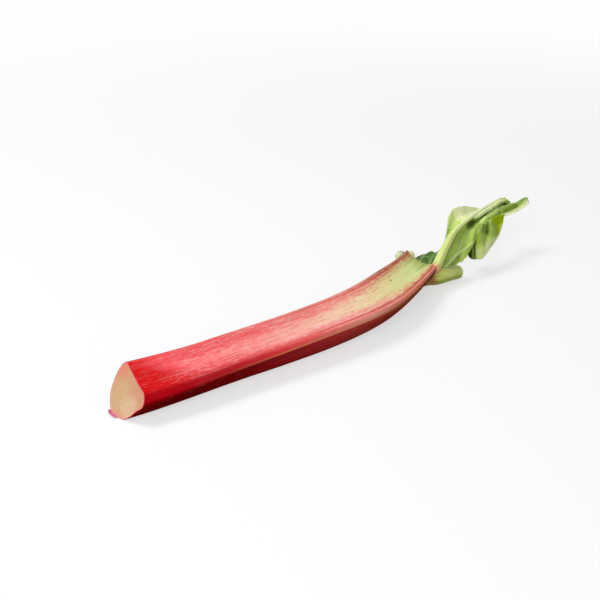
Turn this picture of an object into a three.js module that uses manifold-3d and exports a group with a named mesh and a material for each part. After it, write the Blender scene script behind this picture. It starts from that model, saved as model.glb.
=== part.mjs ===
// A stalk of rhubarb, cut off at its base, with most of its leaf trimmed away at the other end.
// It lies on its ribbed back on a flat surface, z = 0, with its channelled upper side facing up.
// The stalk runs along +X from its cut base and sweeps to +Y at its neck, where five leaf ribs spread.
// The ribs are cut back to stubs, all but one, and scraps of leaf blade stay between them.
// Units are millimetres, +Z is up, and the origin is under the middle of the whole object.
import * as THREE from "three";
import { mergeVertices } from "three/addons/utils/BufferGeometryUtils.js";
import Module from "manifold-3d";

const wasm = await Module();
wasm.setup();

// ---- Driving dimensions ----
const STALK_LENGTH = 264; // cut base to neck, along the stalk
const GAP = 0.35; // clearance between solids that grew together
const STALK_STATIONS = 34;
const SECTION_POINTS = 44;
const REST_FLAT = [1.2, 0.6, 0.5]; // depth pressed flat where it lies, base, middle and neck
const NECK_LIFT = 5.4; // the neck rises off the surface by this much
const LIFT_START = 0.5; // and starts to rise at this share of the length

// Values at equal steps along the stalk, from the base to the neck.
const HEADING_DEG = [-5, 2, 2.5, 6, 25, 32];
const WIDTH = [34.4, 31.2, 31.2, 31.6, 32, 27];
const DEPTH = [24.3, 26.3, 26, 26, 23, 18];
const ROLL_DEG = [23, 14, 17.5]; // the channelled side leans to -Y
const CHANNEL = [0, 0.3, 0.8, 1.4, 2, 2.2]; // how far the upper side is hollowed

// The outline of the section as shares of the width (left is +) and of the depth (the back is -1).
const BASE_SECTION = [
  [0.442, -0.09], // left edge
  [0.43, -0.33],
  [0.3, -0.72],
  [0.04, -0.99],
  [-0.233, -0.985], // back
  [-0.42, -0.76],
  [-0.49, -0.44],
  [-0.547, -0.19], // right edge
];
const SECTION = [
  [0.5, -0.1], // left edge
  [0.47, -0.36],
  [0.33, -0.72],
  [0.1, -0.96],
  [-0.12, -0.98], // back
  [-0.34, -0.76],
  [-0.46, -0.42],
  [-0.5, -0.12], // right edge
];
const BACK_RIBS = 11; // ribs that run along the back
const BACK_RIB_HEIGHT = 0.35;
const CUT_SLOPE = 0.55; // the back sticks out of the cut base by this share of its depth
const BASE_REACH = 60; // the base's own section and its slope fade out over this length
const NOTCH_REACH = 26; // the neck's prongs form over this length
const PRONG = 4; // how far the two edges run on past the middle of the neck

const BLADE = 1.3; // thickness of the leaf blade
const BLADE_EDGE = 0.8; // and at its edges

// Leaf ribs as [x, y, z, radius] from inside the neck to the cut tip, in the frame of the cut base.
const RIBS = {
  right_outer_rib: [
    [254, 33.5, 11.5, 6.2],
    [264, 33.5, 9.6, 6.2],
    [276, 35.5, 7.6, 5.6],
    [289, 38.5, 5.1, 5.2],
  ],
  right_inner_rib: [
    [259, 32, 13.5, 3.2],
    [264, 33.5, 16.8, 3.1],
    [268.5, 36, 20.8, 2.7],
    [277, 40, 27, 2.3],
    [289, 45, 34, 2.1],
    [306, 49, 39, 1.7],
    [328, 56, 40.5, 1.5],
    [352, 66, 39, 1.3],
  ],
  middle_rib: [
    [249, 43, 10, 6],
    [260, 49, 8.2, 5.4],
    [271, 56.5, 6.2, 4.6],
    [281, 63.5, 4.1, 4.2],
  ],
  left_inner_rib: [
    [247, 49.5, 14.5, 4.2],
    [257, 57, 12.5, 3.6],
    [267, 66.5, 9.8, 3.2],
    [275, 77, 7.8, 2.8],
  ],
  left_outer_rib: [
    [243.5, 50, 19, 4],
    [250, 57, 17.5, 3.8],
    [257, 66, 14, 3.4],
    [263, 75.5, 10.5, 3.1],
  ],
};

// Leaf blade as rows of [x, y, z], each row running away from a rib, in the same frame.
const MAIN_BLADE = [
  [[267, 36, 20], [267, 34.5, 18], [267.5, 33.5, 16.5], [268, 33, 15]],
  [[277, 40, 27], [278, 37, 24], [280, 34, 20], [282, 32, 15]],
  [[289, 45, 34], [291, 40, 29], [293, 37, 24], [294, 34, 18]],
  [[298, 47, 37], [301, 45, 32], [300, 41, 28], [305, 41, 23]],
  [[306, 49, 39], [311, 50, 34], [302, 38, 34], [304, 36, 29]],
  [[317, 52.5, 40], [321, 53, 36], [311, 41, 37], [311, 38, 33]],
  [[330, 57, 40.5], [334, 57, 37], [324, 46, 38], [324, 42, 35]],
  [[355.5, 63.5, 39.5], [358, 60.5, 36.5], [348, 55, 38], [347, 52.5, 35.5]],
];
const HANGING_BLADE = [
  [[298, 42, 26], [299, 44, 17], [300, 46.5, 9]],
  [[304, 37.5, 31], [306.5, 41, 20], [309, 44, 8]],
  [[312, 40, 35], [314, 40, 22], [314, 39, 10]],
  [[324, 44, 37], [323, 42, 26], [323, 41, 16]],
  [[337, 50, 37], [333, 45, 30], [332, 44, 24]],
  [[345, 53, 37], [343, 50, 34.5], [342, 49, 32]],
];
const ROLLED_TIP = [
  [[342, 55, 38], [341, 53, 34.5], [340, 52, 33]],
  [[354, 57, 39], [352, 55, 35], [348, 50, 34]],
  [[363, 57, 39.5], [361, 54.5, 36], [359, 50.5, 35.5]],
  [[370, 56, 40], [369.5, 54.5, 37.5], [367.5, 51.5, 37]],
];
const LOBE_BLADE = [
  [[277, 40, 27], [277, 40.5, 30], [277, 41, 33]],
  [[283, 42, 31], [282, 43, 33.5], [281, 43.5, 37]],
  [[289, 45, 34], [287, 46.5, 37.5], [284.5, 47.5, 41.5]],
  [[296, 47, 37], [292.5, 49, 41], [289, 50.5, 46]],
  [[303, 49, 38.5], [300, 52, 43], [298, 54, 48]],
  [[314, 51.5, 40], [312, 54, 42.5], [310, 55.5, 45.5]],
  [[326, 55.5, 40.5], [323, 55.5, 41.5], [321, 55.5, 43]],
];
const MIDDLE_BLADE = [
  [[265, 38.5, 18], [262, 42, 16], [259, 49, 15.5], [256.5, 54, 15.5]],
  [[269, 41, 20], [269, 46, 16.5], [268, 54, 14], [264, 63, 13]],
  [[273, 43.5, 22], [276, 49, 18.5], [276, 60, 14], [271, 70, 12]],
  [[277, 46, 24], [281, 53, 20], [284, 65, 15], [279, 76, 11]],
];
const LEFT_BLADE = [
  [[256, 60.5, 13.5], [254, 60, 15.5], [252, 59.5, 16.5]],
  [[263, 69, 11], [260.5, 69, 12.5], [258, 68, 13.5]],
  [[269, 77, 10], [266.5, 78, 10.5], [264, 76.5, 11.5]],
  [[272.5, 82, 9], [270, 84, 9], [267, 83, 10]],
];

// ---- Helpers ----
const rad = THREE.MathUtils.degToRad;
const smooth = (x) => THREE.MathUtils.smoothstep(x, 0, 1);

// A smooth curve through values at equal steps, read at t from 0 to 1.
function along(values, t) {
  const last = values.length - 1;
  const place = Math.min(Math.max(t, 0), 1) * last;
  const i = Math.min(Math.floor(place), last - 1);
  const f = place - i;
  const [a, b, c, d] = [i - 1, i, i + 1, i + 2].map((k) => values[Math.min(Math.max(k, 0), last)]);
  return b + 0.5 * f * (c - a + f * (2 * a - 5 * b + 4 * c - d + f * (3 * (b - c) + d - a)));
}

// A closed body through rings of points, closed at both ends by a fan.
function loft(rings) {
  const n = rings[0].length;
  const vertices = rings.flat();
  const faces = [];
  for (let i = 0; i + 1 < rings.length; i++)
    for (let j = 0; j < n; j++) {
      const a = i * n + j;
      const b = i * n + ((j + 1) % n);
      faces.push(a, a + n, b, b, a + n, b + n);
    }
  for (const [ring, start, flip] of [
    [rings[0], 0, false],
    [rings.at(-1), (rings.length - 1) * n, true],
  ]) {
    const middle = new THREE.Vector3();
    ring.forEach((p) => middle.addScaledVector(p, 1 / n));
    vertices.push(middle);
    for (let j = 0; j < n; j++) {
      const [a, b] = [start + j, start + ((j + 1) % n)];
      faces.push(...(flip ? [b, a, vertices.length - 1] : [a, b, vertices.length - 1]));
    }
  }
  return new THREE.BufferGeometry().setFromPoints(vertices).setIndex(faces);
}

function solidOf(geometry) {
  const g = geometry.clone();
  g.deleteAttribute("normal");
  g.deleteAttribute("uv");
  const merged = mergeVertices(g, 1e-3);
  const solid = new wasm.Manifold(
    new wasm.Mesh({
      numProp: 3,
      vertProperties: merged.attributes.position.array,
      triVerts: new Uint32Array(merged.index.array),
    }),
  );
  if (solid.volume() < 0) throw new Error("a body is inside out");
  return solid;
}

// The largest of a solid's separate bodies, with slivers of edge removed.
function largest(solid) {
  const bodies = solid.decompose();
  return bodies.reduce((a, b) => (b.volume() > a.volume() ? b : a)).simplify(0.02);
}

function geometryOf(solid) {
  const { vertProperties, triVerts } = solid.getMesh();
  return new THREE.BufferGeometry()
    .setAttribute("position", new THREE.BufferAttribute(vertProperties, 3))
    .setIndex(new THREE.BufferAttribute(triVerts, 1));
}

// ---- The stalk ----
// The frame at t: where the middle of the upper side is, its way forward, to the left edge and up.
const stalkFrames = [];
{
  const place = new THREE.Vector3();
  const step = 1 / (STALK_STATIONS - 1);
  for (let i = 0; i < STALK_STATIONS; i++) {
    const t = i * step;
    const heading = rad(along(HEADING_DEG, t));
    const roll = rad(along(ROLL_DEG, t));
    const forward = new THREE.Vector3(Math.cos(heading), Math.sin(heading), 0);
    const level = new THREE.Vector3(-forward.y, forward.x, 0);
    const left = level.multiplyScalar(Math.cos(roll)).setZ(Math.sin(roll));
    const up = new THREE.Vector3().crossVectors(forward, left);
    stalkFrames.push({ t, forward, left, up, middle: place.clone() });
    place.addScaledVector(forward, STALK_LENGTH * step);
  }
}

// The section's outline at t, grown by `extra`, as points of x across and y up.
function sectionAt(t, extra) {
  const width = along(WIDTH, t);
  const depth = along(DEPTH, t);
  const channel = along(CHANNEL, t);
  const base = 1 - smooth((t * STALK_LENGTH) / BASE_REACH);
  const outline = SECTION.map(([x, y], i) => {
    const across = x + base * (BASE_SECTION[i][0] - x);
    const deep = y + base * (BASE_SECTION[i][1] - y);
    return new THREE.Vector3(across * width, deep * depth, 0);
  });
  for (const x of [-0.4, -0.2, 0, 0.2, 0.4])
    outline.push(new THREE.Vector3(x * width, -channel * (1 - (x / 0.45) ** 2), 0));
  const curve = new THREE.CatmullRomCurve3(outline, true, "centripetal");
  const points = curve.getSpacedPoints(SECTION_POINTS).slice(0, -1);
  const middle = new THREE.Vector3(0, -depth / 2, 0);
  return points.map((p) => {
    const out = p.clone().sub(middle);
    const back = smooth(-out.y / depth + 0.1);
    const angle = Math.atan2(out.x / width, -out.y / depth);
    const ribs = BACK_RIB_HEIGHT * back * Math.cos(BACK_RIBS * angle) * (1 - base);
    return p.addScaledVector(out.normalize(), extra + ribs);
  });
}

function stalkRings(extra) {
  return stalkFrames.map(({ t, forward, left, up, middle }) => {
    const plain = sectionAt(t, 0);
    const drop = Math.max(...plain.map((p) => -p.x * left.z - p.y * up.z));
    const lift = NECK_LIFT * smooth((t - LIFT_START) / (1 - LIFT_START));
    const half = along(WIDTH, t) / 2;
    const cut = 1 - smooth((t * STALK_LENGTH) / BASE_REACH);
    const neck = smooth(1 - ((1 - t) * STALK_LENGTH) / NOTCH_REACH);
    const end = t === 1 ? extra : 0;
    return sectionAt(t, extra).map((p) => {
      const prong = PRONG * Math.min(1, (p.x / half) ** 2) * neck;
      const point = middle.clone().setZ(drop - along(REST_FLAT, t) + lift);
      point.addScaledVector(left, p.x).addScaledVector(up, p.y);
      point.addScaledVector(forward, CUT_SLOPE * p.y * cut + prong + end);
      return point.setZ(Math.max(point.z, 0));
    });
  });
}

// ---- Leaf ribs and blade ----
// A rib with a rounded tip, through [x, y, z, radius] points, grown by `extra`.
function ribSolid(points, extra) {
  const path = new THREE.CatmullRomCurve3(
    points.map(([x, y, z]) => new THREE.Vector3(x, y, z)),
    false,
    "centripetal",
  );
  const radii = points.map((p) => p[3]);
  const steps = 4 * points.length;
  const sides = 14;
  const rings = [];
  for (let i = 0; i <= steps + 2; i++) {
    const t = Math.min(i / steps, 1);
    const middle = path.getPoint(t);
    const forward = path.getTangent(t);
    const left = new THREE.Vector3(-forward.y, forward.x, 0).normalize();
    const up = new THREE.Vector3().crossVectors(forward, left);
    const past = Math.max(0, i - steps) * 0.5; // the rounded tip
    const radius = along(radii, t) * Math.sqrt(1 - (0.8 * past) ** 2);
    middle.addScaledVector(forward, past * 0.45 * along(radii, 1) + (past > 0 ? extra : 0));
    const ring = [];
    for (let j = 0; j < sides; j++) {
      const a = (2 * Math.PI * j) / sides;
      const point = middle.clone().addScaledVector(left, (radius + extra) * Math.cos(a));
      point.addScaledVector(up, -(radius + extra) * Math.sin(a));
      ring.push(point.setZ(Math.max(point.z, 0)));
    }
    rings.push(ring);
  }
  return solidOf(loft(rings));
}

// A thin sheet through rows of [x, y, z], `fine` steps from one control point to the next.
function sheetSolid(rows, fine) {
  const curve = (points) => new THREE.CatmullRomCurve3(points, false, "centripetal");
  const across = rows.map((row) => {
    const points = row.map(([x, y, z]) => new THREE.Vector3(x, y, z));
    return curve(points).getPoints(fine * (row.length - 1));
  });
  const columns = across[0].map((_, k) => {
    return curve(across.map((row) => row[k])).getPoints(fine * (rows.length - 1));
  });
  const [n, m] = [columns.length, columns[0].length];
  const at = (i, j) => columns[Math.min(Math.max(i, 0), n - 1)][Math.min(Math.max(j, 0), m - 1)];
  const vertices = [];
  for (const side of [0.5, -0.5])
    for (let i = 0; i < n; i++)
      for (let j = 0; j < m; j++) {
        const one = at(i + 1, j).clone().sub(at(i - 1, j));
        const two = at(i, j + 1).clone().sub(at(i, j - 1));
        const thickness = i === n - 1 || j === m - 1 || j === 0 ? BLADE_EDGE : BLADE;
        const normal = one.cross(two).normalize();
        const point = at(i, j).clone().addScaledVector(normal, side * thickness);
        vertices.push(point.setZ(Math.max(point.z, side + 0.5)));
      }
  const faces = [];
  const quad = (a, b, c, d) => faces.push(a, b, c, c, b, d);
  const low = n * m;
  for (let i = 0; i + 1 < n; i++)
    for (let j = 0; j + 1 < m; j++) {
      const a = i * m + j;
      quad(a, a + m, a + 1, a + m + 1);
      quad(low + a, low + a + 1, low + a + m, low + a + m + 1);
    }
  for (let j = 0; j + 1 < m; j++) {
    const a = (n - 1) * m + j;
    quad(j, j + 1, low + j, low + j + 1);
    quad(a, low + a, a + 1, low + a + 1);
  }
  for (let i = 0; i + 1 < n; i++) {
    const [a, b] = [i * m, i * m + m - 1];
    quad(a, low + a, a + m, low + a + m);
    quad(b, b + m, low + b, low + b + m);
  }
  return solidOf(new THREE.BufferGeometry().setFromPoints(vertices).setIndex(faces));
}

// ---- Assembly ----
const group = new THREE.Group();
function add(name, geometry, colour) {
  const material = new THREE.MeshStandardMaterial({ color: colour, roughness: 0.45, metalness: 0 });
  const mesh = new THREE.Mesh(geometry, material);
  mesh.name = name;
  group.add(mesh);
}

const stalk = loft(stalkRings(0));
add("stalk", stalk, 0xd8424e);

// Each later piece is cut back from those before it, each grown by the gap.
let taken = solidOf(loft(stalkRings(GAP)));
for (const [name, points] of Object.entries(RIBS)) {
  add(name, geometryOf(largest(ribSolid(points, 0).subtract(taken))), 0xb7c96a);
  taken = taken.add(ribSolid(points, GAP));
}

const folded = sheetSolid(MAIN_BLADE, 3)
  .add(sheetSolid(HANGING_BLADE, 3))
  .add(sheetSolid(ROLLED_TIP, 3));
const blades = {
  right_blade: folded,
  lobe_blade: sheetSolid(LOBE_BLADE, 2),
  middle_blade: sheetSolid(MIDDLE_BLADE, 3),
  left_blade: sheetSolid(LEFT_BLADE, 3),
};
for (const [name, blade] of Object.entries(blades))
  add(name, geometryOf(largest(blade.subtract(taken))), 0x6f9448);

// The origin goes under the middle of everything.
const box = new THREE.Box3().setFromObject(group);
const middle = box.getCenter(new THREE.Vector3());
group.position.set(-middle.x, -middle.y, -box.min.z);

export default group;
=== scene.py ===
"""A cut stalk of rhubarb that lies on its ribbed back, with scraps of its leaf left at the neck.

Tables are in millimetres from the middle of the cut base, with the stalk running along +X, and every
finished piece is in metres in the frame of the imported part.
"""

import logging
import math
from collections.abc import Mapping, Sequence
from dataclasses import dataclass
from enum import Enum

import bpy
import numpy as np
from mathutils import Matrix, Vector
from mathutils.bvhtree import BVHTree


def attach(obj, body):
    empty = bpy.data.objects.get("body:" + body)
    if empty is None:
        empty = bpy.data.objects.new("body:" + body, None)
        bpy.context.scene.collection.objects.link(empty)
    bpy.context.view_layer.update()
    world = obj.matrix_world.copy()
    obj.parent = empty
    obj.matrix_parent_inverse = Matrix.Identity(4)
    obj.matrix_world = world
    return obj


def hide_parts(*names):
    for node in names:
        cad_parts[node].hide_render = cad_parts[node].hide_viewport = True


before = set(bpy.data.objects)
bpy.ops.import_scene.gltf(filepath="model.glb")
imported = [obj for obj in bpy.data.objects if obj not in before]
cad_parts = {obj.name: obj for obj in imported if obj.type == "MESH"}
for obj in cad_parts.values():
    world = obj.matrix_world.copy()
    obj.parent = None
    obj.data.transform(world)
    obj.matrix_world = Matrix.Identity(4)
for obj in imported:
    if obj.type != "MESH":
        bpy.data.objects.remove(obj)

Array = np.ndarray
Row = Sequence[float]
Paint = tuple[float, float, float, float]

log = logging.getLogger("rhubarb")
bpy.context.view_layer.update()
MM = 0.001
BASE = np.array((-178.5089, -33.8316, 0.0))  # the middle of the cut base, from the part's origin
WAVES = 14  # how many waves a wandering is made of
WAVE_SIZES = (0.7, 1.8)  # the shortest and the longest, as shares of its size
WAVE_REACH = 4.5  # how high they stand when they meet


class Slot(Enum):
    """The record's material slots."""

    SKIN = "stalk_skin"
    RIB = "leaf_rib"
    BLADE = "leaf_blade"


# ---- Sums on curves and surfaces ----
def smooth(x: Array | float) -> Array:
    """Ease from 0 to 1 as x goes from 0 to 1."""
    x = np.clip(x, 0.0, 1.0)
    return x * x * (3.0 - 2.0 * x)


def bell(x: Array, width: float) -> Array:
    """A bump of height 1 at 0 that has fallen to a third at `width`."""
    return np.exp(-((x / width) ** 2))


def along(values: Sequence | Array, t: Array) -> Array:
    """Read a smooth curve through values at equal steps.

    Args:
        values: the values, each a number or a vector.
        t: places from 0 to 1.

    Returns:
        The value at each place.
    """
    values = np.asarray(values, float)
    last = len(values) - 1
    place = np.clip(t, 0.0, 1.0) * last
    i = np.minimum(place.astype(int), last - 1)
    f = (place - i).reshape(np.shape(t) + (1,) * (values.ndim - 1))
    a, b, c, d = (values[np.clip(i + k, 0, last)] for k in (-1, 0, 1, 2))
    return b + 0.5 * f * (c - a + f * (2 * a - 5 * b + 4 * c - d + f * (3 * (b - c) + d - a)))


def wander(points: Array, size: float, seed: int) -> Array:
    """Smooth seeded wandering between about -1 and 1.

    Args:
        points: places in millimetres, with 3 numbers on the last axis.
        size: how far apart the bumps are.
        seed: which pattern.

    Returns:
        One number for each place.
    """
    chance = np.random.default_rng(seed)
    total = np.zeros(points.shape[:-1])
    for _ in range(WAVES):
        way = chance.normal(size=3)
        way *= 2 * math.pi / (np.linalg.norm(way) * size * chance.uniform(*WAVE_SIZES))
        total += np.sin(points @ way + chance.uniform(0, 2 * math.pi))
    return total / WAVE_REACH


class Curve:
    """A smooth curve through points, or several side by side where each point is a row of points."""

    def __init__(self, points: Sequence | Array, closed: bool = False) -> None:
        """Work out the curve's spans.

        Args:
            points: the points, first axis along the curve, last axis their coordinates.
            closed: whether the last point runs on to the first.
        """
        p = np.asarray(points, float)
        before = p[-1:] if closed else 2 * p[:1] - p[1:2]
        after = p[:2] if closed else 2 * p[-1:] - p[-2:-1]
        q = np.concatenate((before, p, after))
        gap = np.sqrt(np.linalg.norm(np.diff(q, axis=0), axis=-1, keepdims=True))
        gap = np.maximum(gap, 1e-4)  # because two points may fall together
        n = self.spans = len(p) - (not closed)
        x0, x1, x2, x3 = (q[k : n + k] for k in range(4))
        d0, d1, d2 = (gap[k : n + k] for k in range(3))
        start = d1 * ((x1 - x0) / d0 - (x2 - x0) / (d0 + d1) + (x2 - x1) / d1)
        stop = d1 * ((x2 - x1) / d1 - (x3 - x1) / (d1 + d2) + (x3 - x2) / d2)
        self.terms = (x1, start, 3 * (x2 - x1) - 2 * start - stop, 2 * (x1 - x2) + start + stop)

    def at(self, t: Array) -> Array:
        """Read the curve.

        Args:
            t: places from 0 to 1.

        Returns:
            The point, or the row of points, at each place.
        """
        place = np.clip(t, 0.0, 1.0) * self.spans
        i = np.minimum(place.astype(int), self.spans - 1)
        c0, c1, c2, c3 = (term[i] for term in self.terms)
        f = (place - i).reshape((-1,) + (1,) * (c0.ndim - 1))
        return c0 + f * (c1 + f * (c2 + f * c3))


def grid_faces(rows: int, columns: int, closed: bool = False, start: int = 0) -> Array:
    """Four-sided faces between the points of a grid.

    Args:
        rows: the grid's rows.
        columns: the grid's columns.
        closed: whether the last column joins the first.
        start: the number of the grid's first point.

    Returns:
        One row of four point numbers for each face.
    """
    i, j = np.mgrid[0 : rows - 1, 0 : columns - (not closed)]
    a = start + i * columns + j
    b = start + i * columns + (j + 1) % columns
    return np.stack((a, a + columns, b + columns, b), axis=-1).reshape(-1, 4)


@dataclass
class Form:
    """The points, faces and surface marks of one piece, in millimetres from the cut base."""

    points: Array
    faces: list[list[int]]
    marks: dict[str, Array]
    finish: Array | int = 0

    def volume(self) -> float:
        """Measure what the faces close in.

        Returns:
            Six times the volume, below zero where the faces point inwards.
        """
        total = 0.0
        for size in (3, 4):
            some = np.array([f for f in self.faces if len(f) == size], int).reshape(-1, size)
            for k in range(1, size - 1):
                a, b, c = (self.points[some[:, i]] for i in (0, k, k + 1))
                total += float(np.einsum("ij,ij->i", a, np.cross(b, c)).sum())
        return total

    def outward(self) -> list[list[int]]:
        """The faces, turned to point outwards."""
        return self.faces if self.volume() > 0 else [face[::-1] for face in self.faces]

    def piece(self, name: str, materials: Sequence[bpy.types.Material]) -> bpy.types.Object:
        """Make the Blender object.

        Args:
            name: the piece's name.
            materials: its finishes, which `finish` counts through.

        Returns:
            The object, at the origin, in metres.
        """
        faces = self.outward()
        mesh = bpy.data.meshes.new(name)
        mesh.from_pydata(((self.points + BASE) * MM).tolist(), [], faces)
        for key, values in self.marks.items():
            store(mesh, key, values)
        for material in materials:
            mesh.materials.append(material)
        finish = np.broadcast_to(self.finish, len(faces)).astype(np.int32)
        mesh.polygons.foreach_set("material_index", finish)
        mesh.polygons.foreach_set("use_smooth", np.ones(len(faces), bool))
        mesh.update()
        return linked(name, mesh)


def grown_together(forms: Sequence[Form]) -> Form:
    """Make one body of several.

    Args:
        forms: the bodies, all with the same marks.

    Returns:
        One body that holds them all, each with its faces turned outwards.
    """
    starts = np.cumsum([0, *(len(form.points) for form in forms)]).tolist()
    turned = [(start, face) for start, form in zip(starts, forms) for face in form.outward()]
    faces = [[start + number for number in face] for start, face in turned]
    marks = {key: np.concatenate([form.marks[key] for form in forms]) for key in forms[0].marks}
    return Form(np.concatenate([form.points for form in forms]), faces, marks)


def store(mesh: bpy.types.Mesh, name: str, values: Array) -> None:
    """Store a mark on every point of a mesh.

    Args:
        mesh: the mesh.
        name: the mark's name.
        values: one number or one vector for each point.
    """
    kind, slot = ("FLOAT", "value") if values.ndim == 1 else ("FLOAT_VECTOR", "vector")
    mark = mesh.attributes.new(name, kind, "POINT")
    mark.data.foreach_set(slot, np.ascontiguousarray(values, np.float32).ravel())


def linked(name: str, data: bpy.types.ID) -> bpy.types.Object:
    """Put a new object into the scene.

    Args:
        name: its name.
        data: its mesh, light or camera.

    Returns:
        The object.
    """
    made = bpy.data.objects.new(name, data)
    bpy.context.scene.collection.objects.link(made)
    return made


def keep(piece: bpy.types.Object, slot: Slot, *nodes: str) -> None:
    """Put a finished piece on the part.

    Args:
        piece: the object.
        slot: the material slot of its finish; it is not used.
        nodes: the solids that it stands for.
    """
    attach(piece, "root")
    if nodes:
        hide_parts(*nodes)
    log.info("%s: %d points, %d faces", piece.name, len(piece.data.vertices), len(piece.data.polygons))


# ---- Node trees ----
def paint(code: str) -> Paint:
    """Turn a display colour into the light that Blender works in.

    Args:
        code: six figures, such as "d20207".

    Returns:
        Red, green, blue and 1.
    """
    parts = (int(code[i : i + 2], 16) / 255 for i in (0, 2, 4))
    linear = (c / 12.92 if c <= 0.04045 else ((c + 0.055) / 1.055) ** 2.4 for c in parts)
    return (*linear, 1.0)


class Wire:
    """A node's output that sums can be written with."""

    def __init__(self, maker: "NodeMaker", socket: bpy.types.NodeSocket) -> None:
        """Hold the socket and the tree's maker."""
        self.maker = maker
        self.socket = socket

    def _math(self, operation: str, *values: "Wire | float", clamp: bool = False) -> "Wire":
        """Add one Math node and return its result."""
        settings = {"operation": operation, "use_clamp": clamp}
        return self.maker.node("ShaderNodeMath", settings, dict(enumerate(values)))

    def __add__(self, other: "Wire | float") -> "Wire":
        """This plus another."""
        return self._math("ADD", self, other)

    __radd__ = __add__

    def __sub__(self, other: "Wire | float") -> "Wire":
        """This less another."""
        return self._math("SUBTRACT", self, other)

    def __rsub__(self, other: "Wire | float") -> "Wire":
        """Another less this."""
        return self._math("SUBTRACT", other, self)

    def __mul__(self, other: "Wire | float") -> "Wire":
        """This times another."""
        return self._math("MULTIPLY", self, other)

    __rmul__ = __mul__

    def __abs__(self) -> "Wire":
        """This without its sign."""
        return self._math("ABSOLUTE", self)

    def cosine(self) -> "Wire":
        """The cosine of this, in radians."""
        return self._math("COSINE", self)

    def clamped(self) -> "Wire":
        """This kept between 0 and 1."""
        return self._math("ADD", self, 0.0, clamp=True)

    def larger(self, other: "Wire | float") -> "Wire":
        """The larger of this and another."""
        return self._math("MAXIMUM", self, other)

    def swing(self, reach: "Wire | float") -> "Wire":
        """This noise as a swing to either side of nothing, `reach` wide in all."""
        return (self - 0.5) * reach


class NodeMaker:
    """Adds nodes to one tree."""

    def __init__(self, tree: bpy.types.NodeTree) -> None:
        """Hold the tree."""
        self.tree = tree

    @staticmethod
    def _find(sockets: Sequence[bpy.types.NodeSocket], key: str | int) -> bpy.types.NodeSocket:
        """Pick out a socket.

        Args:
            sockets: a node's inputs or its outputs.
            key: the socket's number, identifier or name.

        Returns:
            The socket.
        """
        if isinstance(key, int):
            return sockets[key]
        for socket in sockets:
            if socket.identifier == key:
                return socket
        return next(socket for socket in sockets if socket.name == key and socket.enabled)

    def node(
        self,
        kind: str,
        settings: Mapping[str, object] | None = None,
        values: Mapping[str | int, object] | None = None,
        output: str | int = 0,
    ) -> Wire:
        """Add a node.

        Args:
            kind: its type.
            settings: its settings, with "stops" for a colour ramp's positions and paints.
            values: what goes into its sockets, a wire or a plain value.
            output: the output to return.

        Returns:
            That output.
        """
        made = self.tree.nodes.new(kind)
        for name, value in (settings or {}).items():
            if name == "stops":
                self._set_stops(made.color_ramp, value)
            else:
                setattr(made, name, value)
        for key, value in (values or {}).items():
            socket = self._find(made.inputs, key)
            if isinstance(value, Wire):
                self.tree.links.new(value.socket, socket)
            else:
                socket.default_value = value
        return Wire(self, self._find(made.outputs, output))

    @staticmethod
    def _set_stops(ramp: bpy.types.ColorRamp, stops: Sequence[tuple[float, str]]) -> None:
        """Give a colour ramp its stops.

        Args:
            ramp: the ramp.
            stops: each stop's place and colour.
        """
        while len(ramp.elements) < len(stops):
            ramp.elements.new(1.0)
        for element, (place, code) in zip(ramp.elements, stops):
            element.position = place
            element.color = paint(code)

    def background_rays(self) -> Wire:
        """Tell the rays that show a background from the rays that light the object.

        Returns:
            1 for a ray from the camera, off a shiny surface or through a clear one, and 0 for the others.
        """
        kinds = ("Is Camera Ray", "Is Glossy Ray", "Is Transmission Ray")
        camera, glossy, through = (self.node("ShaderNodeLightPath", output=kind) for kind in kinds)
        return (camera + glossy + through).clamped()


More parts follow.
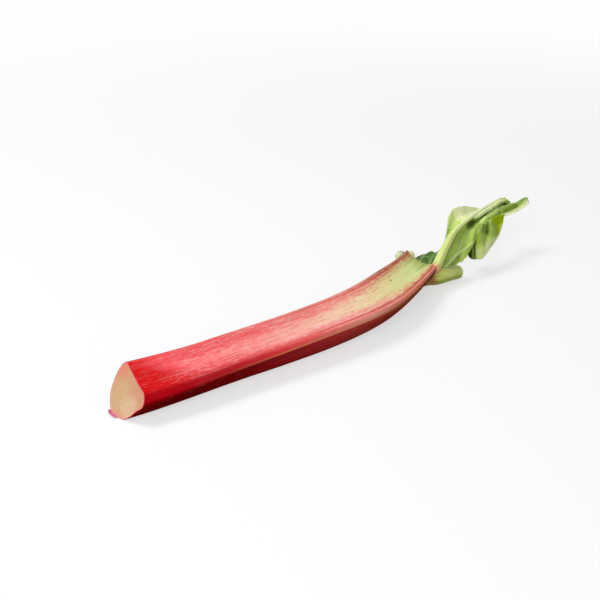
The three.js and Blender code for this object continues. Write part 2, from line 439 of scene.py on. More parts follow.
class Shader(NodeMaker):
    """Makes one material."""

    def __init__(self, name: str) -> None:
        """Start an empty material.

        Args:
            name: the material's name.
        """
        self.material = bpy.data.materials.new(name)
        self.material.use_nodes = True
        super().__init__(self.material.node_tree)
        self.tree.nodes.clear()

    def mark(self, name: str) -> Wire:
        """One of the piece's own number marks."""
        return self.node("ShaderNodeAttribute", {"attribute_name": name}, output="Fac")

    def place(self, name: str) -> Wire:
        """One of the piece's own vector marks."""
        return self.node("ShaderNodeAttribute", {"attribute_name": name}, output="Vector")

    def split(self, vector: Wire) -> list[Wire]:
        """A vector's three numbers."""
        parts = self.node("ShaderNodeSeparateXYZ", values={0: vector}).socket.node.outputs
        return [Wire(self, part) for part in parts]

    def stretched(self, vector: Wire, x: float, y: float, z: float) -> Wire:
        """A vector times three numbers."""
        return self.node("ShaderNodeVectorMath", {"operation": "MULTIPLY"}, {0: vector, 1: (x, y, z)})

    def noise(self, vector: Wire, scale: float, detail: float = 2.0, rough: float = 0.5) -> Wire:
        """Cloudy noise from 0 to 1."""
        values = {"Vector": vector, "Scale": scale, "Detail": detail, "Roughness": rough}
        return self.node("ShaderNodeTexNoise", values=values, output="Fac")

    def grain(
        self, vector: Wire, squeeze: float, scale: float, detail: float = 2.0, rough: float = 0.5
    ) -> Wire:
        """Cloudy noise that is drawn out along the third axis."""
        return self.noise(self.stretched(vector, 1, 1, squeeze), scale, detail, rough)

    def cells(self, vector: Wire, scale: float, feature: str = "F1") -> Wire:
        """The distance in a field of cells, from their middles or their edges."""
        values = {"Vector": vector, "Scale": scale}
        return self.node("ShaderNodeTexVoronoi", {"feature": feature}, values, "Distance")

    def fade(self, value: Wire, low: float | Wire, high: float | Wire) -> Wire:
        """Ease from 0 to 1 as the value goes from low to high."""
        values = {"Value": value, "From Min": low, "From Max": high}
        return self.node("ShaderNodeMapRange", {"interpolation_type": "SMOOTHSTEP"}, values)

    def ramp(self, factor: Wire, *stops: tuple[float, str]) -> Wire:
        """A colour that changes with a number."""
        return self.node("ShaderNodeValToRGB", {"stops": stops}, {"Fac": factor}, "Color")

    def blend(self, factor: Wire | float, first: Wire | Paint | str, second: Wire | Paint | str) -> Wire:
        """Turn one colour into another.

        Args:
            factor: 0 for the first and 1 for the second.
            first: a colour or its code.
            second: a colour or its code.

        Returns:
            The mixed colour.
        """
        values: dict[str | int, object] = {"Factor_Float": factor}
        for key, colour in (("A_Color", first), ("B_Color", second)):
            values[key] = paint(colour) if isinstance(colour, str) else colour
        return self.node("ShaderNodeMix", {"data_type": "RGBA"}, values, "Result_Color")

    def coats(self, colour: Wire | str, *coats: tuple[Wire | float, Wire | str]) -> Wire:
        """Lay coats of colour on a ground, one after the other.

        Args:
            colour: the ground.
            coats: how much of each coat shows, from 0 to 1, and its colour.

        Returns:
            The colour with all of them on it.
        """
        for share, coat in coats:
            colour = self.blend(share, colour, coat)
        return colour

    def shade(self, colour: Wire, factor: Wire) -> Wire:
        """A colour made lighter or darker."""
        values = {0: colour, "Scale": factor}
        return self.node("ShaderNodeVectorMath", {"operation": "SCALE"}, values)

    def near(self, vector: Wire, centre: Row, reach: float, core: float = 0.35) -> Wire:
        """1 at a place in a vector mark, out to a share of the reach, and 0 from the reach on."""
        far = self.node("ShaderNodeVectorMath", {"operation": "DISTANCE"}, {0: vector, 1: centre}, "Value")
        return self.fade(far, reach, reach * core)

    def bump(self, height: Wire, distance: float, strength: float = 1.0) -> Wire:
        """A normal bent by a height from 0 to 1 that stands for `distance` metres."""
        values = {"Strength": strength, "Distance": distance, "Height": height}
        return self.node("ShaderNodeBump", values=values)

    def surface(
        self, colour: Wire, rough: Wire | float, normal: Wire, **fixed: object
    ) -> bpy.types.Material:
        """Finish the material.

        Args:
            colour: its base colour.
            rough: its roughness.
            normal: its bent normal.
            fixed: values that are the same all over, by socket name with _ for a space.

        Returns:
            The material.
        """
        values: dict[str | int, object] = {"Base Color": colour, "Roughness": rough, "Normal": normal}
        values.update({name.replace("_", " "): value for name, value in fixed.items()})
        return self.finished(self.node("ShaderNodeBsdfPrincipled", values=values))

    def finished(self, shader: Wire) -> bpy.types.Material:
        """Join a shader to the material's output.

        Args:
            shader: the shader's wire.

        Returns:
            The material.
        """
        out = self.tree.nodes.new("ShaderNodeOutputMaterial")
        self.tree.links.new(shader.socket, out.inputs["Surface"])
        return self.material


# ---- Finishes ----
@dataclass(frozen=True)
class SkinMarks:
    """What the stem's colours go by: where each point lies, and the skin's grain from fine to broad."""

    across: Wire
    deep: Wire
    run: Wire
    grown: Wire
    fine: Wire
    grain: Wire
    fibre: Wire
    streak: Wire
    broad: Wire
    patch: Wire

    @classmethod
    def read(cls, sh: Shader) -> "SkinMarks":
        """Make the marks in the stem's material.

        Args:
            sh: the material's maker.

        Returns:
            The marks.
        """
        grown = sh.place("grown")
        # Each grain's squeeze along the stem, its scale, its detail and its roughness.
        grains = ((0.07, 1500, 2.5, 0.6), (0.28, 760, 3.0, 0.7), (0.05, 800, 2.0, 0.6),
                  (0.035, 420, 2.5, 0.6), (0.12, 110, 2.0, 0.5), (0.5, 60, 3.0, 0.5))
        return cls(*sh.split(sh.place("spot")), grown, *(sh.grain(grown, *grain) for grain in grains))


@dataclass(frozen=True)
class StalkSkin:
    """The stem's skin: crimson at the base, blush and cream along the channel, green at the neck, with a
    painted sheen along the channel's heart and painted shade on the right shoulder, the right flank and the
    neck end.
    """

    rough: float = 0.36

    def upper_side(self, sh: Shader, at: SkinMarks) -> Wire:
        """Colour the upper side, which is palest along the heart of its channel, partly its own pale colour
        and partly a painted sheen.

        Args:
            sh: the material's maker.
            at: its marks.

        Returns:
            The colour.
        """
        band = sh.ramp(at.run, (0, "d8141c"), (0.08, "f4525a"), (0.22, "f05a60"), (0.42, "f07a76"),
                       (0.62, "f4988c"), (0.82, "e2866e"), (1, "dc8474"))
        band = sh.blend(sh.fade(at.across, 0.2, 0.36) * sh.fade(at.run, 0.7, 0.84) * 0.8, band, "bc6c4c")
        # The heart's cream and pale pink are partly the skin's own colour and partly a painted sheen; its
        # last stop darkens the green at the neck end as painted shade.
        heart = sh.ramp(at.run + at.streak.swing(0.16), (0, "dc1820"), (0.07, "fa5660"), (0.16, "ff7a7e"),
                        (0.32, "fe9a94"), (0.46, "fbae9e"), (0.58, "f7d0ae"), (0.7, "efdda8"),
                        (0.84, "e4e69c"), (0.94, "dcec9e"), (1, "9cb450"))
        old = sh.fade(at.run, 0.45, 0.95)
        left = old * 0.17 + 0.1
        right = old * 0.07 + 0.1
        offset = at.across + 0.06
        jitter = at.streak.swing(0.16) + at.grain.swing(old * 0.34 + 0.2) + at.fibre.swing(0.18)
        heart_left = 1 - sh.fade(offset + jitter, left - 0.06, left + 0.18 + old * 0.1)
        heart_right = 1 - sh.fade(jitter - offset, right - 0.07, right + 0.17)
        # Near the base the skin is deep red, furthest along its right, and streaked with blush; its left
        # edge stays pink there as a painted highlight.
        red_fade_and_highlight = at.run + at.across * 0.16 + at.broad.swing(0.12) + at.streak.swing(0.14)
        green = sh.fade(at.run, 0.6, 0.95)
        young = sh.fade(at.run, 0.03, 0.2)
        pink = sh.fade(at.across, -0.12, -0.24) * sh.fade(at.across, -0.37, -0.28)
        pink = pink * sh.fade(at.run, 0.28, 0.4) * (1 - sh.fade(at.run, 0.6, 0.78))
        # The right shoulder is crimson as far as the middle, partly its own deep red and partly painted
        # shade where it rounds over to the flank, and each rim has a red groove inside it.
        shoulder_red_and_shade = sh.fade(at.across + at.streak.swing(0.06), -0.33, -0.44)
        shoulder_red_and_shade = shoulder_red_and_shade * (1 - sh.fade(at.run, 0.35, 0.68))
        crimson = sh.ramp(at.run, (0, "b40816"), (0.22, "b80c18"), (0.36, "e03038"), (0.56, "ec5a50"))
        groove = sh.fade(abs(abs(at.across + at.broad.swing(0.03)) - 0.375), 0.035, 0.004)
        return sh.coats(
            band,
            (heart_left * heart_right, heart),
            ((1 - sh.fade(red_fade_and_highlight, 0.02, 0.12)) * 0.92, "d20207"),
            (pink * 0.5, "ffb4b2"),
            (sh.fade(at.grain, 0.46, 0.78) * (0.14 + young * 0.3 - green * 0.3), "d43440"),
            (sh.fade(at.grain, 0.54, 0.24) * (0.1 + young * 0.34 - green * 0.26), "ffdccc"),
            (sh.fade(at.fibre, 0.49, 0.76) * (0.28 - green * 0.16), "cc3038"),
            (sh.fade(at.fibre, 0.5, 0.26) * (young * 0.2 + 0.06 - green * 0.06), "ffe8dc"),
            (shoulder_red_and_shade * 0.9, crimson),
            (groove * sh.fade(at.run, 0.3, 0.6) * 0.6, "c43c3e"),
        )

    def under_side(self, sh: Shader, at: SkinMarks) -> Wire:
        """Colour the flanks and the back, with the right flank darkened by painted shade.

        Args:
            sh: the material's maker.
            at: its marks.

        Returns:
            The colour.
        """
        # The right flank is darker than its own deep crimson: painted shade, near black at the base and
        # dark brown at the neck.
        flank = sh.ramp(at.run, (0, "7c0206"), (0.12, "700206"), (0.28, "8c080e"), (0.45, "b4282e"),
                        (0.62, "b43c38"), (0.78, "94421c"), (1, "6e4a14"))
        back = sh.ramp(at.run, (0, "8a0810"), (0.3, "98161e"), (0.6, "a43a32"), (0.8, "a05a34"),
                       (1, "9c8640"))
        far_side = sh.ramp(at.run, (0, "8c0810"), (0.3, "a01c26"), (0.6, "b04440"), (0.85, "b4645a"),
                           (1, "b87860"))
        return sh.coats(
            flank,
            (sh.fade(at.across, 0.05, 0.25), far_side),
            (sh.fade(at.deep, -0.5, -0.8), back),
            (sh.fade(at.streak, 0.48, 0.66) * 0.5, "520408"),
            (sh.fade(at.grain, 0.5, 0.36) * 0.22, "b84c44"),
        )

    def make(self) -> bpy.types.Material:
        """Build the material.

        Returns:
            The material.
        """
        sh = Shader("stalk_skin")
        at = SkinMarks.read(sh)
        outer = sh.fade(abs(at.across), 0.36, 0.42).larger(sh.fade(at.deep, -0.24, -0.34))
        below = sh.fade(at.deep + at.fine.swing(0.02), -0.1, -0.16) * outer
        # A tan line runs along the edge where the upper side meets the flank, partly its own colour and
        # partly a painted highlight on that crisp edge.
        ridge = sh.fade(abs(at.deep + 0.115 + at.streak.swing(0.03)), 0.035, 0.006) * outer
        tan_and_highlight = sh.ramp(at.run, (0, "98080e"), (0.16, "a01410"), (0.38, "e07a56"), (0.62, "e4926a"),
                      (0.8, "7a4416"), (1, "603c0c"))
        freckle = sh.fade(sh.cells(sh.stretched(at.grown, 1, 1, 0.6), 420), 0.2, 0.1)
        freckle = freckle * sh.fade(at.patch, 0.52, 0.66)
        speck = sh.near(at.grown, (0.0035, -0.002, 0.2165), 0.0014)
        scuff = sh.near(at.grown, (-0.0105, -0.001, 0.196), 0.003) * sh.fade(at.fine, 0.4, 0.6)
        colour = sh.coats(
            self.upper_side(sh, at),
            (below, self.under_side(sh, at)),
            (ridge * sh.fade(at.run, 0.05, 0.3) * 0.85, tan_and_highlight),
            (freckle * sh.fade(at.run, 0.15, 0.5) * 0.3, "a84a34"),
            (speck * 0.8, "8a5a30"),
            (scuff * 0.6, "f0e0c0"),
        )
        colour = sh.shade(colour, at.broad.swing(0.22) + at.grain.swing(0.2) + 1.0)
        rough = self.rough + at.broad.swing(0.16) + at.fine.swing(0.12)
        height = at.fine * 0.4 + at.fibre * 0.4 + at.streak * 0.4 + at.broad * 0.3
        wax = sh.fade(at.deep, -0.16, -0.04) * sh.fade(at.across, -0.34, -0.12) * 0.1
        return sh.surface(colour, rough, sh.bump(height, 0.0004, 0.45), Specular_IOR_Level=0.0,
                          Coat_Weight=wax, Coat_Roughness=0.32)


@dataclass(frozen=True)
class CutFlesh:
    """The pale wet flesh of a cut end, dotted with strands, with a thin rim of skin."""

    name: str
    flesh: str
    heart: str
    rim: str
    core: Row
    patches: Sequence[tuple[Row, float, str]] = ()

    def make(self) -> bpy.types.Material:
        """Build the material.

        Returns:
            The material.
        """
        sh = Shader(self.name)
        inward, grown = sh.mark("inward"), sh.place("grown")
        cloud = sh.noise(grown, 190, 3.0)
        grain = sh.noise(grown, 2400, 3.0, 0.65)
        flat = sh.stretched(grown, 1, 1, 0)
        strands = sh.cells(flat, 330)
        cells = sh.cells(flat, 1500)
        dots = sh.fade(strands, 0.22, 0.12) * sh.fade(inward, 0.001, 0.0025)
        edge = inward + cloud.swing(0.0006)
        colour = sh.coats(
            self.flesh,
            (sh.near(grown, self.core, 0.014), self.heart),
            (sh.fade(cloud, 0.45, 0.75) * 0.4, "d9a27a"),
            *((sh.near(grown, centre, reach) * 0.7, tone) for centre, reach, tone in self.patches),
            (dots * 0.32, "b98a5c"),
            (sh.fade(cells, 0.3, 0.55) * 0.24, "c48e66"),
            (sh.fade(edge, 0.0017, 0.0004) * 0.55, "e8a08c"),
            (sh.fade(edge, 0.0007, 0.0003) * 0.9, self.rim),
        )
        colour = sh.shade(colour, grain.swing(0.44) + 1.0)
        height = grain * 0.4 - sh.fade(strands, 0.25, 0.1) * 0.5 + cells * 0.3
        normal = sh.bump(height, 0.0004, 0.6)
        return sh.surface(colour, 0.42 + grain.swing(0.2), normal, Specular_IOR_Level=0.25)


@dataclass(frozen=True)
class RibSkin:
    """The skin of a leaf rib: pale yellow-green, flushed with pink at its root, and darker on its underside
    as painted shade.
    """

    name: str
    light: str
    # deep is the colour of the painted shade on the rib's underside.
    deep: str
    flush: str
    flush_end: float = 0.3
    far: str = "d8e4a0"

    def make(self) -> bpy.types.Material:
        """Build the material.

        Returns:
            The material.
        """
        sh = Shader(self.name)
        grown = sh.place("grown")
        run, lift = sh.mark("run"), sh.mark("lift")
        streak = sh.grain(grown, 0.08, 900, 3.0, 0.6)
        broad = sh.grain(grown, 0.3, 260)
        flush = run + (streak.swing(0.9) + broad.swing(0.5)) * self.flush_end
        freckle = sh.fade(sh.cells(sh.stretched(grown, 1, 1, 0.5), 700), 0.22, 0.12)
        tip = sh.fade(run, 0.975, 0.995)
        colour = sh.coats(
            self.light,
            (sh.fade(run, 0.3, 0.8), self.far),
            # Painted shade: the rib turns to its deep colour where its skin faces down.
            (sh.fade(lift + streak.swing(0.5), 0.45, -0.5), self.deep),
            (sh.fade(streak, 0.52, 0.7) * 0.3, "e8eec2"),
            (sh.fade(streak, 0.46, 0.3) * 0.3, "9cb23c"),
            (sh.fade(flush, self.flush_end, self.flush_end * 0.45), self.flush),
            (freckle * sh.fade(broad, 0.5, 0.62) * 0.35, "c8745c"),
            (tip * 0.6, "dfe3b4"),
        )
        colour = sh.shade(colour, broad.swing(0.2) + 1.0)
        normal = sh.bump(streak * 0.6 + broad * 0.4, 0.0003, 0.6)
        return sh.surface(colour, 0.4 + broad.swing(0.2), normal, Specular_IOR_Level=0.12)


@dataclass(frozen=True)
class BladeSkin:
    """Leaf blade: dark and glossy above, grey-green and veined beneath, paler at its trimmed edges, with
    patches of painted glow, painted highlight and painted shade.
    """

    name: str
    under: str = "aeca62"
    upper: str = "44680c"
    # The colour of the painted glow, where the leaf is lit from behind.
    glow: str = "a2bc06"

    def make(self) -> bpy.types.Material:
        """Build the material.

        Returns:
            The material.
        """
        sh = Shader(self.name)
        flat = sh.place("flat")
        side, vein, rim = (sh.mark(key) for key in ("side", "vein", "rim"))
        # The painted glow, the painted highlights with paler leaf, and the painted shade that the sheets
        # carry.
        glow, light, painted_shade_share = sh.split(sh.place("painted_light"))
        warp = sh.noise(flat, 140)
        cloud = sh.noise(flat, 70, 3.0)
        fine = sh.noise(flat, 1600, 3.0, 0.6)
        veins = sh.fade(sh.cells(flat, 190, "DISTANCE_TO_EDGE"), 0.09, 0.01)
        little = sh.fade(sh.cells(flat, 620, "DISTANCE_TO_EDGE"), 0.12, 0.02)
        cloudy = sh.fade(cloud, 0.35, 0.7)
        under = sh.coats(self.under, (cloudy, "98b24c"), (veins * 0.18, "c6d690"), (little * 0.1, "c0d08a"))
        upper = sh.coats(self.upper, (cloudy, "557a1e"), (veins * 0.3, "86a444"), (little * 0.2, "2c470c"))
        colour = sh.coats(
            under,
            (side, upper),
            # Painted light and shade: a glow, highlights with paler leaf, and shade in creases and hollows.
            (sh.fade(glow + warp.swing(0.12), 0.15, 0.85), self.glow),
            (sh.fade(light, 0.0, 0.55) * 0.75, "c6de74"),
            (sh.fade(light, 0.3, 1.0) * 0.92, "f4fbc8"),
            (painted_shade_share * 0.92, "485c02"),
            (sh.fade(vein, 0.1, 0.95) * (1 - side * 0.45) * 0.6, "d6e4a4"),
            (sh.fade(rim, 0.3, 0.9) * 0.6, "c2d28c"),
        )
        colour = sh.shade(colour, fine.swing(0.16) + warp.swing(0.24) + 1.0)
        height = veins * 0.6 + little * 0.3 + fine * 0.15
        normal = sh.bump(height * (1 - side * 2), 0.0004, 0.4)
        rough = 0.5 - side * 0.14 + cloud.swing(0.15)
        return sh.surface(colour, rough, normal, Specular_IOR_Level=0.06, Subsurface_Weight=0.5,
                          Subsurface_Radius=(1.0, 1.0, 0.35), Subsurface_Scale=0.0016)


@dataclass(frozen=True)
class Ground:
    """A pale floor with the object's shadow, white further out, that throws less light than it shows."""

    shown: float = 0.97
    thrown: float = 0.5
    glow: float = 0.6
    reach: float = 0.9

    def make(self) -> bpy.types.Material:
        """Build the material.

        Returns:
            The material.
        """
        sh = Shader("ground")
        plain = sh.background_rays()
        thrown, shown = ((level, level, level, 1.0) for level in (self.thrown, self.shown))
        dull_floor = sh.node("ShaderNodeBsdfDiffuse", values={"Color": sh.blend(plain, thrown, shown)})
        white = sh.node("ShaderNodeEmission", values={"Color": (1, 1, 1, 1), "Strength": 1.0})
        spot = sh.node("ShaderNodeTexCoord", output="Object")
        shaded = sh.near(spot, (0, 0, 0), self.reach) * (1 - self.glow)
        parts = {0: plain * (1 - shaded), 1: dull_floor, 2: white}
        return sh.finished(sh.node("ShaderNodeMixShader", values=parts))


# ---- The stem ----
@dataclass
class Stalk:
    """The stem: a channelled upper side between two rims, ribbed flanks and back, and cut ends."""

    length: float = 264.0
    heading: Row = (-5, 2, 2.5, 6, 25, 32)
    width: Row = (34.4, 31.2, 31.2, 31.6, 32, 27)
    depth: Row = (24.3, 26.3, 26, 26, 23, 18)
    roll: Row = (23, 14, 17.5)
    channel: Row = (0, 0.3, 0.8, 1.4, 2, 2.2)
    channel_places: Row = (-0.4, -0.2, 0, 0.2, 0.4)
    channel_edge: float = 0.45
    rest_flat: Row = (1.2, 0.6, 0.5)
    neck_lift: float = 5.4
    lift_start: float = 0.5
    back_ribs: int = 11
    back_rib_height: float = 0.35
    strand_count: int = 46
    strand_sway: float = 1.4
    strand_height: float = 0.07
    face_strand_height: float = 0.015
    swellings: Sequence[Row] = ((8, 0.13), (19, 0.18))
    rim_start: Row = (0.28, 0.4)
    rim_growth: Row = (0.42, 0.4)
    rim_bumps: Sequence[Sequence[Row]] = (
        ((0.9, -0.452, 0.034), (-0.55, -0.378, 0.026)),
        ((0.8, 0.452, 0.04), (-0.45, 0.37, 0.03)),
    )
    cut_slope: float = 0.55
    base_reach: float = 60.0
    notch_reach: float = 26.0
    prong: float = 4.0
    steps: int = 33
    rows: int = 300
    ring: int = 232
    trace_points: int = 1041
    base_outline: Sequence[Row] = ((0.442, -0.09), (0.43, -0.33), (0.3, -0.72), (0.04, -0.99),
                                   (-0.233, -0.985), (-0.42, -0.76), (-0.49, -0.44), (-0.547, -0.19))
    outline: Sequence[Row] = ((0.5, -0.1), (0.47, -0.36), (0.33, -0.72), (0.1, -0.96),
                              (-0.12, -0.98), (-0.34, -0.76), (-0.46, -0.42), (-0.5, -0.12))
    cap_shares: Row = (0.992, 0.98, 0.965, 0.94, 0.9, 0.85, 0.79, 0.72, 0.64, 0.56, 0.48, 0.4, 0.32, 0.24,
                       0.16, 0.08)
    lip_place: float = 0.975
    lip_width: float = 0.02
    hollow_spread: float = 1.4
    base_dish: Row = (0.2, 0.35)
    neck_dish: Row = (0.1, 2.2)

    def frames(self, t: Array) -> tuple[Array, Array, Array, Array]:
        """Lay out the stem's course.

        Args:
            t: places along it, from 0 to 1.

        Returns:
            Its middle and its ways forward, left and up at each place.
        """
        heading, roll = (np.radians(along(values, t)) for values in (self.heading, self.roll))
        flat = np.zeros_like(t)
        forward = np.stack((np.cos(heading), np.sin(heading), flat), axis=-1)
        level = np.stack((-np.sin(heading), np.cos(heading), flat), axis=-1)
        left = level * np.cos(roll)[:, None] + np.array((0, 0, 1)) * np.sin(roll)[:, None]
        turns = np.radians(along(self.heading, np.arange(self.steps) / self.steps))
        ways = np.stack((np.cos(turns), np.sin(turns), np.zeros(self.steps)), axis=-1)
        stations = np.vstack((np.zeros(3), np.cumsum(ways, axis=0) * self.length / self.steps))
        return along(stations, t), forward, left, np.cross(forward, left)

    def section(self, t: Array, places: Array) -> Array:
        """Draw the stem's outline.

        Args:
            t: places along it, from 0 to 1.
            places: places round it, from 0 to 1.

        Returns:
            For each t, a point of across and up for each place round it.
        """
        width, depth, channel = (along(v, t)[:, None] for v in (self.width, self.depth, self.channel))
        base = 1 - smooth(t * self.length / self.base_reach)[:, None, None]
        shares = np.array(self.outline) + base * (np.array(self.base_outline) - np.array(self.outline))
        edge = shares * np.stack((width, depth), axis=-1)
        x = np.array(self.channel_places)
        face = np.stack((x * width, -channel * (1 - (x / self.channel_edge) ** 2)), axis=-1)
        control = np.concatenate((edge, face), axis=1).transpose(1, 0, 2)
        return Curve(control, closed=True).at(places).transpose(1, 0, 2)

    def places(self) -> Array:
        """Share the outline out evenly, half way along the stem.

        Returns:
            A place from 0 to 1 for each point round it.
        """
        trace = np.linspace(0, 1, self.trace_points)
        outline = self.section(np.array((0.5,)), trace)[0]
        run = np.concatenate(([0], np.cumsum(np.linalg.norm(np.diff(outline, axis=0), axis=-1))))
        return np.interp(np.arange(self.ring) / self.ring * run[-1], run, trace)

    def surface(self, t: Array, places: Array) -> dict[str, Array]:
        """Make the stem's skin.

        Args:
            t: places along it, from 0 to 1.
            places: places round it, from 0 at the left edge, over the back, to 1.

        Returns:
            The points, one row for each t, and their marks.
        """
        local = self.section(t, places)
        width, depth = along(self.width, t)[:, None], along(self.depth, t)[:, None]
        run = (t * self.length)[:, None]
        base = 1 - smooth(run / self.base_reach)
        x, y = local[..., 0], local[..., 1]
        out = np.stack((x, y + depth / 2), axis=-1)
        angle = np.arctan2(out[..., 0] / width, -out[..., 1] / depth)
        ease = smooth(-out[..., 1] / depth + 0.1)
        out /= np.linalg.norm(out, axis=-1, keepdims=True)
        ribs = self.back_rib_height * ease * np.cos(self.back_ribs * angle) * (1 - base)
        middle, forward, left, up = self.frames(t)
        plain = local + out * ribs[..., None]
        # The middle is as high as the back hangs below it, so the stem lies on the surface.
        drop = (-plain[..., 0] * left[:, None, 2] - plain[..., 1] * up[:, None, 2]).max(axis=1)
        lift = self.neck_lift * smooth((t - self.lift_start) / (1 - self.lift_start))
        middle[:, 2] = drop - along(self.rest_flat, t) + lift
        across, deep = x / width, y / depth
        grown = np.stack((x, y, np.broadcast_to(run, x.shape)), axis=-1)
        shaped = plain + out * self.strands(grown, angle, deep)[..., None]
        shaped[..., 1] += self.rims(across, deep, t[:, None])
        # The cut base slopes, and the neck runs out in a prong on either side.
        lean = self.cut_slope * y * base
        neck = smooth(1 - (self.length - run) / self.notch_reach)
        lean += self.prong * np.minimum(1, (2 * across) ** 2) * neck
        points = middle[:, None] + shaped[..., :1] * left[:, None] + shaped[..., 1:] * up[:, None]
        points += lean[..., None] * forward[:, None]
        points[..., 2] = np.maximum(points[..., 2], 0)
        spot = np.stack((across, deep, np.broadcast_to(t[:, None], x.shape)), axis=-1)
        return {"points": points, "spot": spot, "grown": grown * MM, "inward": np.zeros_like(x)}

    def strands(self, grown: Array, angle: Array, deep: Array) -> Array:
        """Raise fine strands and slow swellings.

        Args:
            grown: each point's across, up and run, in millimetres.
            angle: which way it lies from the middle.
            deep: how far down it lies, as a share of the stem's depth.

        Returns:
            How far each point is lifted.
        """
        below = smooth((-deep - 0.1) / 0.12)
        sway = wander(grown * (0.5, 0.5, 0.1), 9, 3)
        height = self.strand_height * below + self.face_strand_height
        lifted = np.cos(self.strand_count * angle + self.strand_sway * sway) * height
        for seed, (size, swelling) in enumerate(self.swellings, 1):
            lifted = lifted + wander(grown * (1, 1, 0.16), size, seed) * swelling
        return lifted

    def rims(self, across: Array, deep: Array, t: Array) -> Array:
        """Raise the two rims of the upper side, each with a groove inside it.

        Args:
            across: where each point lies across the stem, from -0.5 to 0.5.
            deep: how far down it lies, as a share of the stem's depth.
            t: where it lies along the stem.

        Returns:
            How far each point is lifted.
        """
        lifted = 0.0
        for start, growth, bumps in zip(self.rim_start, self.rim_growth, self.rim_bumps):
            shape = sum(height * bell(across - place, width) for height, place, width in bumps)
            lifted = lifted + smooth((t - start) / growth) * shape
        return smooth((deep + 0.2) / 0.1) * lifted

    def cap(self, rim: Mapping[str, Array], way: Array, dish: Row) -> dict[str, Array]:
        """Close one end with rings that shrink from its rim to its middle.

        Args:
            rim: the rim's points and their marks.
            way: the way out of the end.
            dish: how far the flesh stands up inside the rim, and how far it sinks in the middle.

        Returns:
            The points, ring after ring with the middle last, and their marks.
        """
        lip, hollow = dish
        share = np.array((*self.cap_shares, 0.0))[:, None, None]
        bulge = lip * bell(share - self.lip_place, self.lip_width)
        bulge = bulge - hollow * smooth((1 - share) * self.hollow_spread)
        centre, grown = rim["points"].mean(axis=0), rim["grown"].mean(axis=0)
        reach = np.linalg.norm(rim["points"] - centre, axis=-1)
        rings = {
            "points": centre + (rim["points"] - centre) * share + way * bulge,
            "spot": rim["spot"] * np.concatenate((share, share, np.ones_like(share)), axis=-1),
            "grown": grown + (rim["grown"] - grown) * share,
            "inward": reach * (1 - share[..., 0]) * MM,
        }
        # The last ring has shrunk to the middle, which is kept once.
        count = len(share) * self.ring
        return {key: values.reshape(count, -1)[: 1 - self.ring] for key, values in rings.items()}

    def cap_faces(self, first: int, start: int) -> list[list[int]]:
        """Join the rings of one end.

        Args:
            first: the number of the rim's first point.
            start: the number of the first point inside the rim.

        Returns:
            The faces between the rings and the fan round the middle.
        """
        inner = start + np.arange(len(self.cap_shares) * self.ring).reshape(-1, self.ring)
        rings = np.vstack((first + np.arange(self.ring), inner))
        turned = np.roll(rings, -1, axis=1)
        sides = np.stack((rings[:-1], turned[:-1], turned[1:], rings[1:]), axis=-1).reshape(-1, 4)
        middle = np.full(self.ring, inner[-1, -1] + 1)
        return sides.tolist() + np.stack((rings[-1], turned[-1], middle), axis=-1).tolist()

    def form(self) -> Form:
        """Make the whole stem, with its cut base and the hollow end between the leaf ribs.

        Returns:
            One closed body.
        """
        t = np.linspace(0, 1, self.rows)
        skin = self.surface(t, self.places())
        sides = {key: [values.reshape(self.rows * self.ring, -1)] for key, values in skin.items()}
        faces = grid_faces(self.rows, self.ring, closed=True).tolist()
        finish = [0] * len(faces)
        _, forward, _, _ = self.frames(t[[0, -1]])
        ends = ((0, -forward[0], self.base_dish), (self.rows - 1, forward[1], self.neck_dish))
        for colour, (row, way, dish) in enumerate(ends, 1):
            more = self.cap_faces(row * self.ring, sum(map(len, sides["points"])))
            faces += [face[::-1] for face in more] if row else more
            finish += [colour] * len(more)
            rim = {key: values[row] for key, values in skin.items()}
            for key, values in self.cap(rim, way, dish).items():
                sides[key].append(values)
        marks = {key: np.concatenate(values).squeeze() for key, values in sides.items()}
        return Form(marks.pop("points"), faces, marks, np.array(finish))

    def build(self) -> bpy.types.Object:
        """Make the stem and dress it.

        Returns:
            The dressed piece.
        """
        blushes = (((0.0145, -0.003, 0), 0.009, "ee7c66"), ((-0.011, -0.014, 0), 0.01, "e0c4a0"))
        flesh = CutFlesh("cut_flesh", "d39876", "d1af81", "e44a62", (0.002, -0.016, 0.0), blushes)
        hollow = CutFlesh("neck_flesh", "c8d48c", "d6dfa0", "c9ce86", (0, -0.01, 0.264))
        piece = self.form().piece("stalk_stem", (StalkSkin().make(), flesh.make(), hollow.make()))
        keep(piece, Slot.SKIN, "stalk")
        return piece


